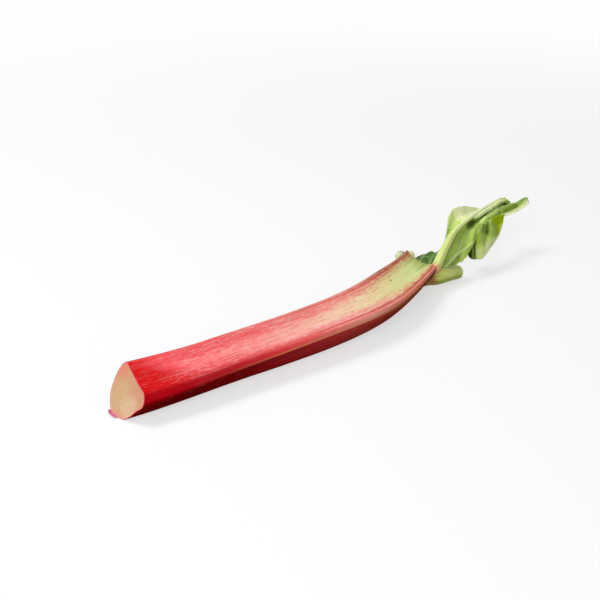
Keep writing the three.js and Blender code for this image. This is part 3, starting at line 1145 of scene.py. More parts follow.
# ---- Leaf ribs ----
class RodGrower(NodeMaker):
    """Grows a ridged rod along a path whose points hold their girth."""

    SIZES = (("Sides", "NodeSocketInt"), ("Ridges", "NodeSocketInt"), ("Ridge height", "NodeSocketFloat"),
             ("Lumps", "NodeSocketFloat"), ("Seed", "NodeSocketFloat"), ("Finish", "NodeSocketMaterial"))
    LUMP_SCALE = 140.0
    FULL_GIRTH = 0.002  # a rod that is thinner than this has lower ridges and lumps

    def __init__(self) -> None:
        """Build the tree."""
        super().__init__(bpy.data.node_groups.new("rod_along_path", "GeometryNodeTree"))
        face = self.tree.interface
        face.new_socket(name="Path", in_out="INPUT", socket_type="NodeSocketGeometry")
        for name, kind in self.SIZES:
            face.new_socket(name=name, in_out="INPUT", socket_type=kind)
        face.new_socket(name="Rod", in_out="OUTPUT", socket_type="NodeSocketGeometry")
        self.entry = self.tree.nodes.new("NodeGroupInput")
        girth = self.node("GeometryNodeInputNamedAttribute", {"data_type": "FLOAT"}, {"Name": "girth"})
        path = self.node("GeometryNodeMeshToCurve", values={"Mesh": self.given("Path")})
        path = self.node("GeometryNodeSetCurveNormal", {"mode": "Z_UP"}, {"Curve": path})
        path = self.stored(path, "run")
        sizes = {"Resolution": self.given("Sides"), "Radius": 1.0}
        ring = self.node("GeometryNodeCurvePrimitiveCircle", values=sizes)
        ring = self.stored(ring, "around")
        values = {"Curve": path, "Profile Curve": ring, "Scale": girth, "Fill Caps": True}
        rod = self.node("GeometryNodeCurveToMesh", values=values)
        rod = self.node("GeometryNodeSetPosition", values={"Geometry": rod, "Offset": self.relief(girth)})
        rod = self.node("GeometryNodeSetShadeSmooth", values={"Geometry": rod})
        rod = self.node("GeometryNodeRealizeInstances", values={"Geometry": rod})
        values = {"Geometry": rod, "Material": self.given("Finish")}
        rod = self.node("GeometryNodeSetMaterial", values=values)
        leave = self.tree.nodes.new("NodeGroupOutput")
        self.tree.links.new(rod.socket, leave.inputs["Rod"])

    def given(self, name: str) -> Wire:
        """One of the tree's own inputs."""
        return Wire(self, self.entry.outputs[name])

    def stored(self, curve: Wire, name: str) -> Wire:
        """Keep each point's place along a curve as a mark.

        Args:
            curve: the curve.
            name: the mark's name.

        Returns:
            The curve with the mark.
        """
        place = self.node("GeometryNodeSplineParameter", output="Factor")
        values = {"Geometry": curve, "Name": name, "Value": place}
        return self.node("GeometryNodeStoreNamedAttribute", {"data_type": "FLOAT"}, values)

    def relief(self, girth: Wire) -> Wire:
        """Raise ridges and slow lumps.

        Args:
            girth: the rod's radius.

        Returns:
            How far each point moves, and which way.
        """
        around = self.node("GeometryNodeInputNamedAttribute", {"data_type": "FLOAT"}, {"Name": "around"})
        ridge = (around * self.given("Ridges") * (2 * math.pi)).cosine() * self.given("Ridge height")
        place = self.node("GeometryNodeInputPosition")
        values = {"Vector": place, "W": self.given("Seed"), "Scale": self.LUMP_SCALE, "Detail": 1.0}
        lumps = self.node("ShaderNodeTexNoise", {"noise_dimensions": "4D"}, values, "Fac")
        full = (girth * (1 / self.FULL_GIRTH)).clamped()
        height = (ridge + lumps.swing(self.given("Lumps"))) * full
        normal = self.node("GeometryNodeInputNormal")
        return self.node("ShaderNodeVectorMath", {"operation": "SCALE"}, {0: normal, "Scale": height})

    def identifier(self, name: str) -> str:
        """The identifier of the input with this name."""
        return next(item.identifier for item in self.tree.interface.items_tree if item.name == name)

    def grow(self, name: str, path: Array, girth: Array, sizes: Mapping[str, object]) -> bpy.types.Object:
        """Grow one rod.

        Args:
            name: the piece's name.
            path: the points of its path, in millimetres from the cut base.
            girth: its radius at each point, in millimetres.
            sizes: the tree's inputs, by name.

        Returns:
            A plain mesh object.
        """
        mesh = bpy.data.meshes.new(name + "_path")
        edges = [(i, i + 1) for i in range(len(path) - 1)]
        mesh.from_pydata(((path + BASE) * MM).tolist(), edges, [])
        store(mesh, "girth", girth * MM)
        line = linked(name + "_line", mesh)
        modifier = line.modifiers.new("grow", "NODES")
        modifier.node_group = self.tree
        for key, value in sizes.items():
            modifier[self.identifier(key)] = value
        evaluated = line.evaluated_get(bpy.context.evaluated_depsgraph_get())
        rod = bpy.data.meshes.new_from_object(evaluated)
        bpy.data.objects.remove(line)
        rod.name = name
        return linked(name, rod)


@dataclass(frozen=True)
class Rib:
    """One leaf rib: its path as [x, y, z, radius], from inside the neck to the cut tip."""

    name: str
    points: Sequence[Row]
    ridges: int = 11
    ridge_height: float = 0.07
    lumps: float = 0.5
    flush_end: float = 0.3
    flush: str = "a4564a"
    light: str = "d6e396"
    # deep is the colour of the painted shade on the rib's underside.
    deep: str = "98ae26"
    far: str = "d8e4a0"
    tip: float = 0.5
    tip_points: int = 12
    tip_shape: Row = (2.6, 2.2)
    sides: int = 72
    fine: int = 26
    flare: float = 0.34
    flare_reach: float = 3.2

    def line(self) -> tuple[Array, Array]:
        """Lay out the path, with its tip rounded off.

        Returns:
            The points of the path, and the radius at each.
        """
        table = np.array(self.points, float)
        t = np.linspace(0, 1, self.fine * (len(table) - 1) + 1)
        path, girth = Curve(table[:, :3]).at(t), along(table[:, 3], t)
        way = path[-1] - path[-2]
        way /= np.linalg.norm(way)
        past = np.linspace(0, 1, self.tip_points)[1:]
        end = path[-1] + past[:, None] * way * self.tip * girth[-1]
        fall, spread = self.tip_shape
        round_off = girth[-1] * np.maximum(1 - past**fall, 0.001) ** (1 / spread)
        return np.vstack((path, end)), np.concatenate((girth, round_off))

    def build(self, grower: RodGrower, stem: BVHTree, seed: int) -> None:
        """Make the rib and dress it.

        Args:
            grower: the tree that grows it.
            stem: the stem's skin, which its root flares onto.
            seed: which pattern of lumps.
        """
        name = self.name + "_skin"
        skin = RibSkin(name, self.light, self.deep, self.flush, self.flush_end, self.far).make()
        path, girth = self.line()
        sizes = {"Sides": self.sides, "Ridges": self.ridges, "Ridge height": self.ridge_height * MM,
                 "Lumps": self.lumps * MM, "Seed": float(seed), "Finish": skin}
        piece = grower.grow(self.name, path, girth, sizes)
        mesh = piece.data
        spots, ways = (self.vectors(mesh, kind) for kind in ("co", "normal"))
        spots = self.flared(spots, ways, stem)
        spots[:, 2] = np.maximum(spots[:, 2], 0.0)
        mesh.vertices.foreach_set("co", spots.ravel())
        run, around = (self.read(mesh, key) for key in ("run", "around"))
        length = np.linalg.norm(np.diff(path, axis=0), axis=1).sum()
        turn = around * 2 * math.pi
        mean = float(girth[: len(girth) // 2].mean())
        grown = np.stack((np.cos(turn) * mean, np.sin(turn) * mean, run * length), axis=-1) * MM
        store(mesh, "grown", grown)
        # How far each point faces up, which the skin reads to paint shade on the underside.
        store(mesh, "lift", ways[:, 2])
        mesh.update()
        keep(piece, Slot.RIB, self.name)

    def flared(self, spots: Array, ways: Array, stem: BVHTree) -> Array:
        """Push the root's skin out where it meets the stem, as one growth runs into another.

        Args:
            spots: the rib's points, in metres.
            ways: their normals.
            stem: the stem's skin.

        Returns:
            The points, moved.
        """
        reach = self.flare_reach * MM
        moved = spots.copy()
        for i, (spot, way) in enumerate(zip(spots, ways)):
            near, normal, _, far = stem.find_nearest(Vector(spot), reach)
            if near is not None and (Vector(spot) - near).dot(normal) > 0:
                moved[i] += way * (1 - far / reach) ** 2 * reach * self.flare
        return moved

    @staticmethod
    def vectors(mesh: bpy.types.Mesh, kind: str) -> Array:
        """Read a vector of every point.

        Args:
            mesh: the mesh.
            kind: "co" for the points' places or "normal" for their normals.

        Returns:
            A row for each point.
        """
        values = np.empty(len(mesh.vertices) * 3)
        mesh.vertices.foreach_get(kind, values)
        return values.reshape(-1, 3)

    @staticmethod
    def read(mesh: bpy.types.Mesh, name: str) -> Array:
        """Read a number mark.

        Args:
            mesh: the mesh.
            name: the mark's name.

        Returns:
            The mark of every point.
        """
        values = np.empty(len(mesh.vertices), np.float32)
        mesh.attributes[name].data.foreach_get("value", values)
        return values


@dataclass
class LeafRibs:
    """The five ribs that spread from the neck: four cut to stubs, and one that arches up with the leaf."""

    ribs: Sequence[Rib] = (
        Rib(
            "right_outer_rib",
            ((244, 30.5, 12, 3.2), (249, 31.8, 11.8, 4.8), (254, 33.5, 11.2, 6), (264, 33.5, 9.6, 6.2),
             (276, 35.5, 7.6, 5.6), (286.6, 38, 5.3, 5.2)),
            flush_end=0.42, flush="a8702e", light="dce878", deep="a2b010", far="e2ea90", tip=0.8,
        ),
        Rib(
            "right_inner_rib",
            ((251, 29.5, 13, 1.6), (259, 32, 13.5, 3.2), (264, 33.5, 16.8, 3.6), (268.5, 36, 20.8, 3.5),
             (277, 40, 27, 3.1), (289, 45, 34, 2.3), (306, 49, 39, 1.6), (328, 56, 40.5, 1.2),
             (352, 66, 39, 0.9)),
            ridges=6, ridge_height=0.1, flush_end=0.16, flush="d2806a", light="d8e78e", deep="8eaa20",
            far="eef6c4",
        ),
        Rib(
            "middle_rib",
            ((240, 38.5, 10.5, 2.8), (249, 43, 10, 5.6), (260, 49, 8.2, 5.4), (271, 56.5, 6.2, 4.6),
             (281, 63.5, 4.1, 4.2)),
            flush_end=0.44,
        ),
        Rib(
            "left_inner_rib",
            ((238, 42.5, 14.5, 1.8), (247, 49.5, 14.5, 3.8), (257, 57, 12.5, 3.6), (267, 66.5, 9.8, 3.2),
             (275, 77, 7.8, 2.8)),
            flush_end=0.45,
        ),
        Rib(
            "left_outer_rib",
            ((229, 39, 20.5, 0.9), (236.5, 44, 20, 2.6), (243.5, 49.5, 19, 3.7), (250, 57, 17.5, 3.7),
             (257, 66, 14, 3.4), (263, 75.5, 10.5, 3.1)),
            flush_end=0.62,
        ),
    )

    def build(self, stem: bpy.types.Object) -> None:
        """Make the ribs.

        Args:
            stem: the stem that they grow from.
        """
        grower = RodGrower()
        skin = BVHTree.FromObject(stem, bpy.context.evaluated_depsgraph_get())
        for seed, rib in enumerate(self.ribs):
            rib.build(grower, skin, seed)


# ---- Leaf blade ----
@dataclass(frozen=True)
class Vein:
    """A raised vein: the [row, column] places that it runs through, its half width and its height."""

    places: Sequence[Row]
    width: float = 0.8
    height: float = 0.7
    taper: float = 0.5
    colour_spread: float = 1.15


class Tone(Enum):
    """Each kind of patch on a blade: a painted glow where it is lit from behind, paler leaf with a painted
    highlight, and painted shade.
    """

    PAINTED_GLOW = 0
    PALE_AND_HIGHLIGHT = 1
    PAINTED_SHADE = 2


@dataclass(frozen=True)
class PaintedLight:
    """A soft patch or stripe of painted glow, painted highlight or painted shade, through one or more [row,
    column] places.
    """

    tone: Tone
    reach: float
    places: Sequence[Row]
    strength: float = 1.0
    core: float = 1.4


@dataclass(frozen=True)
class Sheet:
    """A sheet of blade through rows of points, each row running away from a rib."""

    rows: Sequence[Sequence[Row]]
    pale_towards: Row = (-0.5, -0.75, 0.4)
    veins: Sequence[Vein] = ()
    painted_lights: Sequence[PaintedLight] = ()
    thick: float = 0.8
    crumple: float = 0.4
    ragged: float = 0.035
    fine: int = 14
    seed: int = 1
    edge_round: float = 0.7
    edge_thick: float = 0.07
    rim_width: float = 0.5
    rib_calm: float = 4.0
    vein_hollow: float = 0.5
    clearance: float = 0.05
    pattern_gap: float = 7.0
    crumples: Sequence[Row] = ((9, 0, 1), (3.4, 50, 0.28))
    tear_gap: float = 7.0
    tear_depth: float = 1.5
    tear_grip: int = 8
    line_points: int = 60

    def net(self) -> Array:
        """Spread the sheet out.

        Returns:
            The points of its middle surface, row by row.
        """
        control = np.array(self.rows, float)
        u, v = (np.linspace(0, 1, self.fine * (count - 1) + 1) for count in control.shape[:2])
        across = Curve(control.transpose(1, 0, 2)).at(v)
        net = Curve(across.transpose(1, 0, 2)).at(u)
        for axis, seed in ((0, 5), (1, 9)):
            net = self.torn(net, axis, self.seed * 31 + seed)
        return net

    def torn(self, net: Array, axis: int, seed: int) -> Array:
        """Draw the sheet's far edge back a little here and there.

        Args:
            net: the sheet's points.
            axis: 0 for the edge after the last row, 1 for the edge after the last column.
            seed: which pattern.

        Returns:
            The points, moved along the sheet.
        """
        net = np.moveaxis(net, axis, 0)
        count = net.shape[0]
        short = self.ragged * (0.5 + 0.5 * wander(net[-1], self.tear_gap, seed)) * self.tear_depth
        place = np.linspace(0, 1, count)[:, None]
        place = place * (1 - short[None] * place**self.tear_grip) * (count - 1)
        low = np.minimum(place.astype(int), count - 2)
        part = (place - low)[..., None]
        side = np.arange(net.shape[1])[None]
        net = net[low, side] * (1 - part) + net[low + 1, side] * part
        return np.moveaxis(net, 0, axis)

    @staticmethod
    def nearness(net: Array, line: Array) -> tuple[Array, Array]:
        """Measure every point against a line.

        Args:
            net: the sheet's points.
            line: the line's points.

        Returns:
            How far each point is from the line, and how far along the line that is, from 0 to 1.
        """
        flat = net.reshape(-1, 3)
        far = np.full(len(flat), np.inf)
        where = np.zeros(len(flat))
        for k, point in enumerate(line):
            here = np.linalg.norm(flat - point, axis=1)
            closer = here < far
            far[closer] = here[closer]
            where[closer] = k / max(1, len(line) - 1)
        return far.reshape(net.shape[:2]), where.reshape(net.shape[:2])

    def at(self, net: Array, row: float, column: float) -> Array:
        """The point of the net at a place in the table of rows."""
        i, j = (int(round(place * self.fine)) for place in (row, column))
        return net[min(i, net.shape[0] - 1), min(j, net.shape[1] - 1)]

    def line(self, net: Array, places: Sequence[Row]) -> Array:
        """Draw a smooth line on the sheet.

        Args:
            net: the sheet's points.
            places: the [row, column] places that the line runs through.

        Returns:
            The points of the net along it.
        """
        if len(places) == 1:
            return np.array([self.at(net, *places[0])])
        spread = Curve([[*place, 0.0] for place in places]).at(np.linspace(0, 1, self.line_points))
        return np.array([self.at(net, row, column) for row, column, _ in spread])

    def normals(self, net: Array) -> Array:
        """Find which way the pale side faces.

        Args:
            net: the sheet's points.

        Returns:
            A way of length 1 for each point.
        """
        normal = np.cross(np.gradient(net, axis=0), np.gradient(net, axis=1))
        normal /= np.maximum(np.linalg.norm(normal, axis=-1, keepdims=True), 1e-9)
        return -normal if float((normal @ np.array(self.pale_towards)).mean()) < 0 else normal

    def veined(self, net: Array) -> tuple[Array, Array]:
        """Lay the veins on the sheet.

        Args:
            net: the sheet's points.

        Returns:
            How far each point is raised, and how much of a vein shows there, from 0 to 1.
        """
        raised, shown = np.zeros(net.shape[:2]), np.zeros(net.shape[:2])
        for vein in self.veins:
            far, where = self.nearness(net, self.line(net, vein.places))
            size = 1 - vein.taper * where
            raised = np.maximum(raised, vein.height * size * bell(far, vein.width * size))
            shown = np.maximum(shown, bell(far, vein.width * vein.colour_spread * size))
        return raised, shown

    def lay_painted_light(self, net: Array) -> Array:
        """Lay the painted glow, highlights and shade on the sheet.

        Args:
            net: the sheet's points.

        Returns:
            How much of each tone every point has.
        """
        painted_light = np.zeros((*net.shape[:2], len(Tone)))
        for patch in self.painted_lights:
            far, _ = self.nearness(net, self.line(net, patch.places))
            value = patch.strength * smooth(patch.core - far / patch.reach)
            painted_light[..., patch.tone.value] = np.maximum(painted_light[..., patch.tone.value], value)
        return painted_light

    def form(self) -> Form:
        """Make the sheet a thin body, crumpled and veined, with its painted light and shade.

        Returns:
            One closed body with the marks that its finish reads.
        """
        net = self.net()
        normal = self.normals(net)
        n, m = net.shape[:2]
        steps = [np.linalg.norm(np.diff(net, axis=axis), axis=-1).mean(axis=1 - axis) for axis in (0, 1)]
        u, v = (np.concatenate(([0], np.cumsum(step))) for step in steps)
        border = np.minimum(np.minimum(u, u[-1] - u)[:, None], np.minimum(v, v[-1] - v)[None])
        free = np.minimum((u[-1] - u)[:, None], (v[-1] - v)[None])
        half = self.thick / 2 * np.sqrt(smooth(border / self.edge_round)) + self.edge_thick
        ripple = sum(wander(net, size, self.seed + more) * self.crumple * share
                     for size, more, share in self.crumples)
        raised, veins = self.veined(net)
        middle = net + normal * (ripple * smooth(v / self.rib_calm)[None])[..., None]
        pale = middle + normal * (half + raised)[..., None]
        dark = middle + normal * (raised * self.vein_hollow - half)[..., None]
        points = np.concatenate((pale.reshape(-1, 3), dark.reshape(-1, 3)))
        points[:, 2] = np.maximum(points[:, 2], self.clearance)
        i, j = np.arange(n), np.arange(m)
        loop = np.concatenate((i[:-1] * m, (n - 1) * m + j[:-1], i[:0:-1] * m + m - 1, j[:0:-1]))
        wall = np.stack((loop, np.roll(loop, -1), np.roll(loop, -1) + n * m, loop + n * m), axis=-1)
        faces = np.concatenate((grid_faces(n, m), grid_faces(n, m, start=n * m)[:, ::-1], wall[:, ::-1]))
        apart = np.full((n, m), self.seed * self.pattern_gap)  # no two sheets have the same pattern
        flat = np.stack((*np.broadcast_arrays(u[:, None], v[None]), apart), axis=-1) * MM
        marks = {"vein": veins, "painted_light": self.lay_painted_light(net), "rim": bell(free, self.rim_width), "flat": flat}
        both = {key: np.tile(values.reshape(n * m, -1), (2, 1)).squeeze() for key, values in marks.items()}
        return Form(points, faces.tolist(), {"side": np.repeat((0.0, 1.0), n * m), **both})


@dataclass(frozen=True)
class Blade:
    """One scrap of leaf blade, of one or more sheets that grew together."""

    name: str
    sheets: Sequence[Sheet]

    def build(self, skin: bpy.types.Material) -> None:
        """Make the blade in its skin and put it on the part."""
        form = grown_together([sheet.form() for sheet in self.sheets])
        keep(form.piece(self.name, (skin,)), Slot.BLADE, self.name)


@dataclass
class LeafBlades:
    """The leaf that is left: a folded blade on the arching rib, a lobe behind it and two scraps."""

    main: Sheet = Sheet(
        rows=(
            ((267, 36, 20), (267.5, 35, 18), (268, 34.5, 16.5),
             (268, 34, 16), (268, 33.5, 15.5), (268, 33, 15)),
            ((277, 40, 27), (278.5, 39, 24), (280.5, 37.5, 21.5),
             (281.5, 35.5, 19), (282, 33.5, 16.5), (281.5, 31, 15)),
            ((289, 45, 34), (291, 44, 31), (292.5, 42.5, 28),
             (294, 39, 23.5), (294, 36, 21), (294, 34.5, 18)),
            ((298, 47, 37), (299.5, 46, 35.5), (302, 46, 32),
             (301, 40.5, 29.5), (300.5, 37.5, 27), (302, 37.5, 23)),
            ((306, 49, 39), (306.5, 47, 38), (310, 50, 33.5),
             (305.5, 43, 33), (304.5, 40, 31), (306, 40, 26.5)),
            ((317, 52.5, 40), (317, 49.5, 39.5), (322, 53, 34),
             (316, 46.5, 36), (315, 43.5, 34.5), (317, 44, 30.5)),
            ((330, 57, 40.5), (330.5, 53.5, 40), (335, 57.5, 35),
             (329.5, 51.5, 37), (328.5, 48.5, 35.5), (331, 50, 32)),
            ((346, 62, 41), (347, 58.5, 40.5), (351, 62, 35.5),
             (345, 57, 36.5), (343.5, 54.5, 35), (345.5, 55.5, 32.5)),
            ((355, 63.5, 40.5), (357.5, 59.5, 38.5), (358, 62, 34.5),
             (353, 59.5, 36), (351.5, 58, 34.5), (352, 59, 31.5)),
        ),
        veins=(
            Vein(((0, 5), (1, 2.9), (2, 3.5), (3, 4.3)), 1.2, 0.9, 0.35),
            Vein(((1.3, 2.9), (1.9, 2.4), (2.4, 2.2)), 0.5, 0.15),
        ),
        # Painted shade in the crease and hollows, painted highlights along the rib and the folds, and a
        # painted glow at the far end.
        painted_lights=(
            PaintedLight(Tone.PAINTED_SHADE, 1.4, ((3.4, 1.5), (4.2, 1.9), (5, 2), (7.4, 2)), 0.9),
            PaintedLight(Tone.PAINTED_SHADE, 3.4, ((3.5, 1.2), (4, 1.6)), 0.95),
            PaintedLight(Tone.PALE_AND_HIGHLIGHT, 2.2, ((4.6, 0.6), (6, 0.8), (7.2, 0.8)), 0.75),
            PaintedLight(Tone.PALE_AND_HIGHLIGHT, 1.4, ((3.1, 3.3), (4, 3.2)), 0.25),
            PaintedLight(Tone.PALE_AND_HIGHLIGHT, 1.5, ((4.9, 3.2), (5.6, 3.1), (8, 3)), 0.55),
            PaintedLight(Tone.PALE_AND_HIGHLIGHT, 1.0, ((7.8, 3),), 0.7),
            PaintedLight(Tone.PALE_AND_HIGHLIGHT, 3.0, ((1.1, 4.6), (2.2, 4.8)), 0.25),
            PaintedLight(Tone.PAINTED_SHADE, 1.4, ((5, 4.6), (7.6, 4.4)), 0.4),
            PaintedLight(Tone.PAINTED_SHADE, 1.8, ((0.5, 4.6), (1.2, 3.7)), 0.5),
            PaintedLight(Tone.PALE_AND_HIGHLIGHT, 2.0, ((7.4, 0.7), (8, 0.9)), 0.5),
            PaintedLight(Tone.PAINTED_GLOW, 2.6, ((7.5, 0.6), (8, 0.8)), 0.5),
        ),
        crumple=0.5,
        seed=1,
    )
    hanging: Sheet = Sheet(
        rows=(
            ((306.5, 50, 23.5), (304.5, 49.5, 20), (304, 48.5, 16), (304, 46.5, 13)),
            ((311, 51, 25), (309.5, 49.5, 19.5), (308, 48, 14), (306, 44.5, 8.5)),
            ((311.5, 47, 28.5), (309.5, 45, 22.5), (308, 42.5, 16.5), (305.5, 39, 10)),
            ((308.5, 41, 33), (306.5, 38.5, 27.5), (304, 36, 21), (302.5, 33.5, 13)),
            ((313.5, 42.5, 34.5), (311.5, 39.5, 29), (308, 35.5, 22), (304.5, 31.5, 13)),
            ((320.5, 46, 34.5), (319, 43, 28.5), (313, 36.5, 22.5), (309, 32.5, 14)),
            ((322, 43.5, 37), (321.5, 41, 30.5), (318, 37, 24), (314.5, 35, 16.5)),
            ((330.5, 45.5, 37), (330, 43.5, 31), (327, 40.5, 25.5), (323.5, 39, 19)),
            ((340, 47, 36), (338, 45, 33), (335, 44, 27.5), (332, 44, 22)),
        ),
        # A painted glow where the flap is lit from behind, painted highlights along its lower right edge,
        # and painted shade inside the fold.
        painted_lights=(
            PaintedLight(Tone.PAINTED_GLOW, 5.5, ((6.7, 0.2), (7.2, 0.3), (7.3, 1.4))),
            PaintedLight(Tone.PAINTED_GLOW, 3.6, ((7.8, 0), (7.9, 0.9))),
            PaintedLight(Tone.PAINTED_GLOW, 1.1, ((3, 0.6), (3, 2), (3, 3)), 0.8),
            PaintedLight(Tone.PALE_AND_HIGHLIGHT, 3.8, ((8, 2.1), (8, 3), (7, 3), (6, 3), (4.8, 3))),
            PaintedLight(Tone.PALE_AND_HIGHLIGHT, 6.0, ((6.6, 2.7), (5.6, 2.9)), 0.8),
            PaintedLight(Tone.PALE_AND_HIGHLIGHT, 6.5, ((4.2, 2.5), (4.6, 2.9)), 0.6),
            PaintedLight(Tone.PAINTED_SHADE, 3.5, ((0.9, 0), (1, 1.5), (1, 3))),
            PaintedLight(Tone.PAINTED_SHADE, 2.6, ((2, 0), (2.1, 1.5), (2.2, 3))),
            PaintedLight(Tone.PAINTED_SHADE, 2.4, ((5, 0), (5.1, 0.6), (5, 1.2)), 0.8),
            PaintedLight(Tone.PAINTED_SHADE, 1.8, ((4.2, 0), (4.2, 0.7)), 0.5),
        ),
        crumple=0.3,
        ragged=0.012,
        seed=2,
    )
    tip: Sheet = Sheet(
        rows=(
            ((328, 50.5, 34), (328, 50.5, 33), (327.5, 49.5, 32.5), (327, 48.5, 32.5)),
            ((336, 52, 35.5), (337, 52.5, 33), (336, 50.5, 32.5), (334.5, 48.5, 32.5)),
            ((343.5, 53.5, 38), (345.5, 54, 34), (344, 51.5, 33), (342, 49, 33)),
            ((349, 53.5, 39.5), (352.5, 54.5, 35), (351.5, 51.5, 33.5), (349, 48, 33.5)),
            ((357, 54, 39), (360, 55, 35.5), (359.5, 52.5, 34), (357, 49.5, 34)),
            ((363.5, 53.5, 41), (366, 54, 38), (365.5, 52.5, 36.5), (363.5, 50, 35.5)),
            ((368, 53.5, 41), (369, 53.5, 39.5), (369, 52.5, 38), (368, 51, 37)),
        ),
        # Painted shade in the gutter, a faint painted glow, and painted highlights along its rims.
        painted_lights=(
            PaintedLight(Tone.PAINTED_SHADE, 2.0, ((2, 1), (3, 1), (3.8, 1)), 0.5),
            PaintedLight(Tone.PAINTED_GLOW, 2.4, ((1, 1), (3, 1.2), (4.6, 1.2)), 0.35),
            PaintedLight(Tone.PALE_AND_HIGHLIGHT, 3.4, ((0, 3), (2, 2.8), (4, 2.6), (5.4, 2.4))),
            PaintedLight(Tone.PALE_AND_HIGHLIGHT, 2.2, ((5.5, 1.6),), 0.8),
        ),
        thick=0.6,
        crumple=0.2,
        ragged=0.01,
        seed=3,
    )
    lobe: Sheet = Sheet(
        rows=(
            ((276, 41, 25), (276.5, 42, 27.5), (277.5, 43, 29)),
            ((282.5, 43, 29.5), (282.5, 45, 31.5), (282.5, 46.5, 33.5)),
            ((289.5, 46, 34), (288.5, 49, 35.5), (287.5, 51.5, 38)),
            ((295.5, 47.5, 36), (294.5, 52.5, 38), (291.5, 55.5, 42)),
            ((300.5, 48.5, 37.5), (299.5, 54.5, 41), (297, 56.5, 46.5)),
            ((307, 50, 39), (306, 54.5, 42), (304, 56, 47.5)),
            ((316, 52.5, 40), (315, 56, 41), (313.5, 56.5, 44.5)),
            ((326.5, 56.5, 39.5), (325, 58, 40), (324, 59, 40.5)),
        ),
        veins=(Vein(((5, 0), (5, 1), (5.3, 2)), 0.7, 0.25), Vein(((2.6, 0), (2.1, 1), (1.8, 2)), 0.6, 0.3)),
        # The lobe is lightened all over with painted highlights.
        painted_lights=(
            PaintedLight(Tone.PALE_AND_HIGHLIGHT, 12.0, ((5, 1.2), (6.5, 1))),
            PaintedLight(Tone.PALE_AND_HIGHLIGHT, 8.0, ((3, 1.4), (4, 1.6)), 0.55),
        ),
        ragged=0.02,
        seed=4,
    )
    middle: Sheet = Sheet(
        rows=(
            ((265, 38.5, 18), (262, 42, 16), (259, 49, 14.5), (257, 53, 13)),
            ((269, 41, 20), (269, 46, 15.5), (268, 54, 14.5), (264, 61, 11)),
            ((273, 43.5, 22), (276, 49, 19), (276, 60, 12.5), (270, 67, 10.5)),
            ((277, 46, 23.5), (281, 53, 17), (282, 63, 13.5), (276, 71, 8.5)),
        ),
        pale_towards=(0, 0, -1),
        veins=(
            Vein(((0, 1), (1, 1.1), (2, 1), (3, 0.8)), 0.8, 0.4),
            Vein(((0, 2), (1, 2.1), (3, 2.3)), 0.8, 0.4),
        ),
        crumple=0.8,
        ragged=0.1,
        seed=5,
    )
    left: Sheet = Sheet(
        rows=(
            ((256, 60.5, 13.5), (254, 60, 15.5), (252, 59.5, 16.5)),
            ((263, 69, 11), (260.5, 69, 12.5), (258, 68, 13.5)),
            ((269, 77, 10), (266.5, 78, 10.5), (264, 76.5, 11.5)),
            ((272.5, 82, 9), (270, 84, 9), (267, 83, 10)),
        ),
        pale_towards=(0, 0, -1),
        seed=6,
    )

    def build(self) -> None:
        """Make the blades in one skin."""
        skin = BladeSkin("leaf_blade").make()
        blades = (("right_blade", (self.main, self.hanging, self.tip)), ("lobe_blade", (self.lobe,)),
                  ("middle_blade", (self.middle,)), ("left_blade", (self.left,)))
        for name, sheets in blades:
            Blade(name, sheets).build(skin)


@dataclass(frozen=True)
class PeelSkin:
    """Thin bright skin that has come away from the cut end and curled."""

    deep: str = "b8305c"
    bright: str = "e47ca6"

    def make(self) -> bpy.types.Material:
        """Build the material.

        Returns:
            The material.
        """
        sh = Shader("peeled_skin")
        flat = sh.place("flat")
        streak = sh.noise(sh.stretched(flat, 0.2, 1, 1), 1500, 3.0)
        colour = sh.blend(sh.fade(streak, 0.35, 0.65), self.deep, self.bright)
        colour = sh.blend(sh.fade(sh.mark("rim"), 0.3, 0.9) * 0.6, colour, "f6c6d2")
        return sh.surface(colour, 0.3 + streak * 0.1, sh.bump(streak, 0.0003, 0.5), Specular_IOR_Level=0.3)


@dataclass
class PeeledSkin:
    """A shaving of skin that hangs from the lower left of the cut base and curls up off the surface."""

    sheet: Sheet = Sheet(
        rows=(
            ((-12.4, 10.6, 1.5), (-13.6, 10.9, 1.3), (-14.2, 11, 1.8)),
            ((-12.9, 8.2, 0.5), (-14.8, 8.6, 0.5), (-15.6, 8.6, 1.4)),
            ((-13, 5.5, 0.4), (-15.2, 5.8, 0.5), (-16, 5.4, 1.7)),
            ((-12.9, 2.8, 0.4), (-14.8, 2.8, 0.5), (-15.6, 2.2, 1.4)),
            ((-12.5, 0.2, 0.4), (-13.6, 0, 0.5), (-14.2, -0.6, 1)),
        ),
        pale_towards=(-1, 0, -0.3),
        thick=0.3,
        crumple=0.15,
        seed=8,
    )

    def build(self) -> None:
        """Make the shaving and dress it."""
        keep(self.sheet.form().piece("peeled_skin", (PeelSkin().make(),)), Slot.SKIN)


# ---- Studio ----
def aim(thing: bpy.types.Object, target: Vector, azimuth: float, elevation: float, distance: float) -> None:
    """Stand a lamp or the camera off from the target and turn it to face it.

    Args:
        thing: the lamp or the camera.
        target: the point that it faces.
        azimuth: degrees round the object, from 0 in front of it, at -Y.
        elevation: degrees above the floor.
        distance: how far it is from the target, in metres.
    """
    a, e = math.radians(azimuth), math.radians(elevation)
    way = Vector((math.sin(a) * math.cos(e), -math.cos(a) * math.cos(e), math.sin(e)))
    thing.location = target + way * distance
    thing.rotation_euler = way.to_track_quat("Z", "Y").to_euler()


@dataclass(frozen=True)
class Lamp:
    """A soft square lamp: the way to it from the object, its distance, side and brightness."""

    name: str
    azimuth: float
    elevation: float
    distance: float
    side: float
    level: float
    colour: Row = (1.0, 1.0, 1.0)

    def build(self, target: Vector) -> None:
        """Put the lamp up.

        Args:
            target: the point that it faces.
        """
        light = bpy.data.lights.new(self.name, "AREA")
        light.shape = "SQUARE"
        light.size = self.side
        light.energy = self.level * math.pi**2 * self.distance**2
        light.color = self.colour
        aim(linked(self.name, light), target, self.azimuth, self.elevation, self.distance)


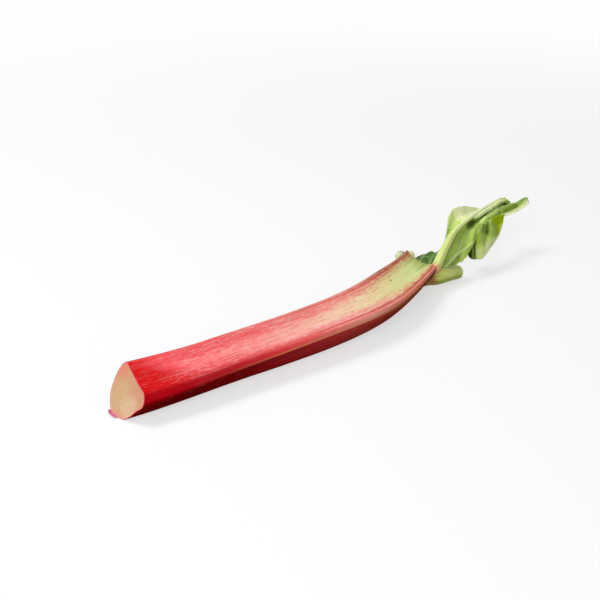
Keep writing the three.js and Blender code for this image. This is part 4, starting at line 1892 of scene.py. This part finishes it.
@dataclass
class Studio:
    """A plain floor, soft lamps and the camera."""

    azimuth: float = -34.5
    elevation: float = 26.0
    distance: float = 0.966
    lens: float = 85.0
    sensor: float = 36.0
    clip: Row = (0.01, 50.0)
    target: Row = (-0.030209, 0.005568, 0.02)
    ambient: float = 0.3
    lamps: Sequence[Lamp] = (
        Lamp("key_lamp", -140, 62, 1.5, 0.6, 0.55),
        Lamp("front_lamp", -50, 30, 1.6, 0.8, 0.48),
    )
    floor_size: float = 8.0
    floor_level: float = -0.0002

    def build(self) -> None:
        """Set the stage: the floor, the light and the camera."""
        self.build_floor()
        self.build_world()
        target = Vector(self.target)
        for lamp in self.lamps:
            lamp.build(target)
        camera = bpy.data.cameras.new("camera")
        camera.lens, camera.sensor_width = self.lens, self.sensor
        camera.clip_start, camera.clip_end = self.clip
        view = linked("camera", camera)
        aim(view, target, self.azimuth, self.elevation, self.distance)
        bpy.context.scene.camera = view

    def build_floor(self) -> None:
        """Lay the floor just under the object."""
        half, z = self.floor_size / 2, self.floor_level
        corners = [(-half, -half, z), (half, -half, z), (half, half, z), (-half, half, z)]
        mesh = bpy.data.meshes.new("floor")
        mesh.from_pydata(corners, [], [(0, 1, 2, 3)])
        mesh.materials.append(Ground().make())
        linked("floor", mesh)

    def build_world(self) -> None:
        """Light from all round, which the camera sees as white."""
        world = bpy.data.worlds.new("soft_light")
        world.use_nodes = True
        maker = NodeMaker(world.node_tree)
        maker.tree.nodes.clear()
        strength = maker.background_rays() * (1.0 - self.ambient) + self.ambient
        light = maker.node("ShaderNodeBackground", values={"Color": (1, 1, 1, 1), "Strength": strength})
        out = maker.tree.nodes.new("ShaderNodeOutputWorld")
        maker.tree.links.new(light.socket, out.inputs["Surface"])
        bpy.context.scene.world = world
        bpy.context.scene.view_settings.view_transform = "Standard"


def main() -> None:
    """Build the stalk, its leaf and the studio."""
    logging.basicConfig(level=logging.INFO, format="%(name)s: %(message)s")
    stem = Stalk().build()
    LeafRibs().build(stem)
    LeafBlades().build()
    PeeledSkin().build()
    Studio().build()
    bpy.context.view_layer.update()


if __name__ == "__main__":
    main()
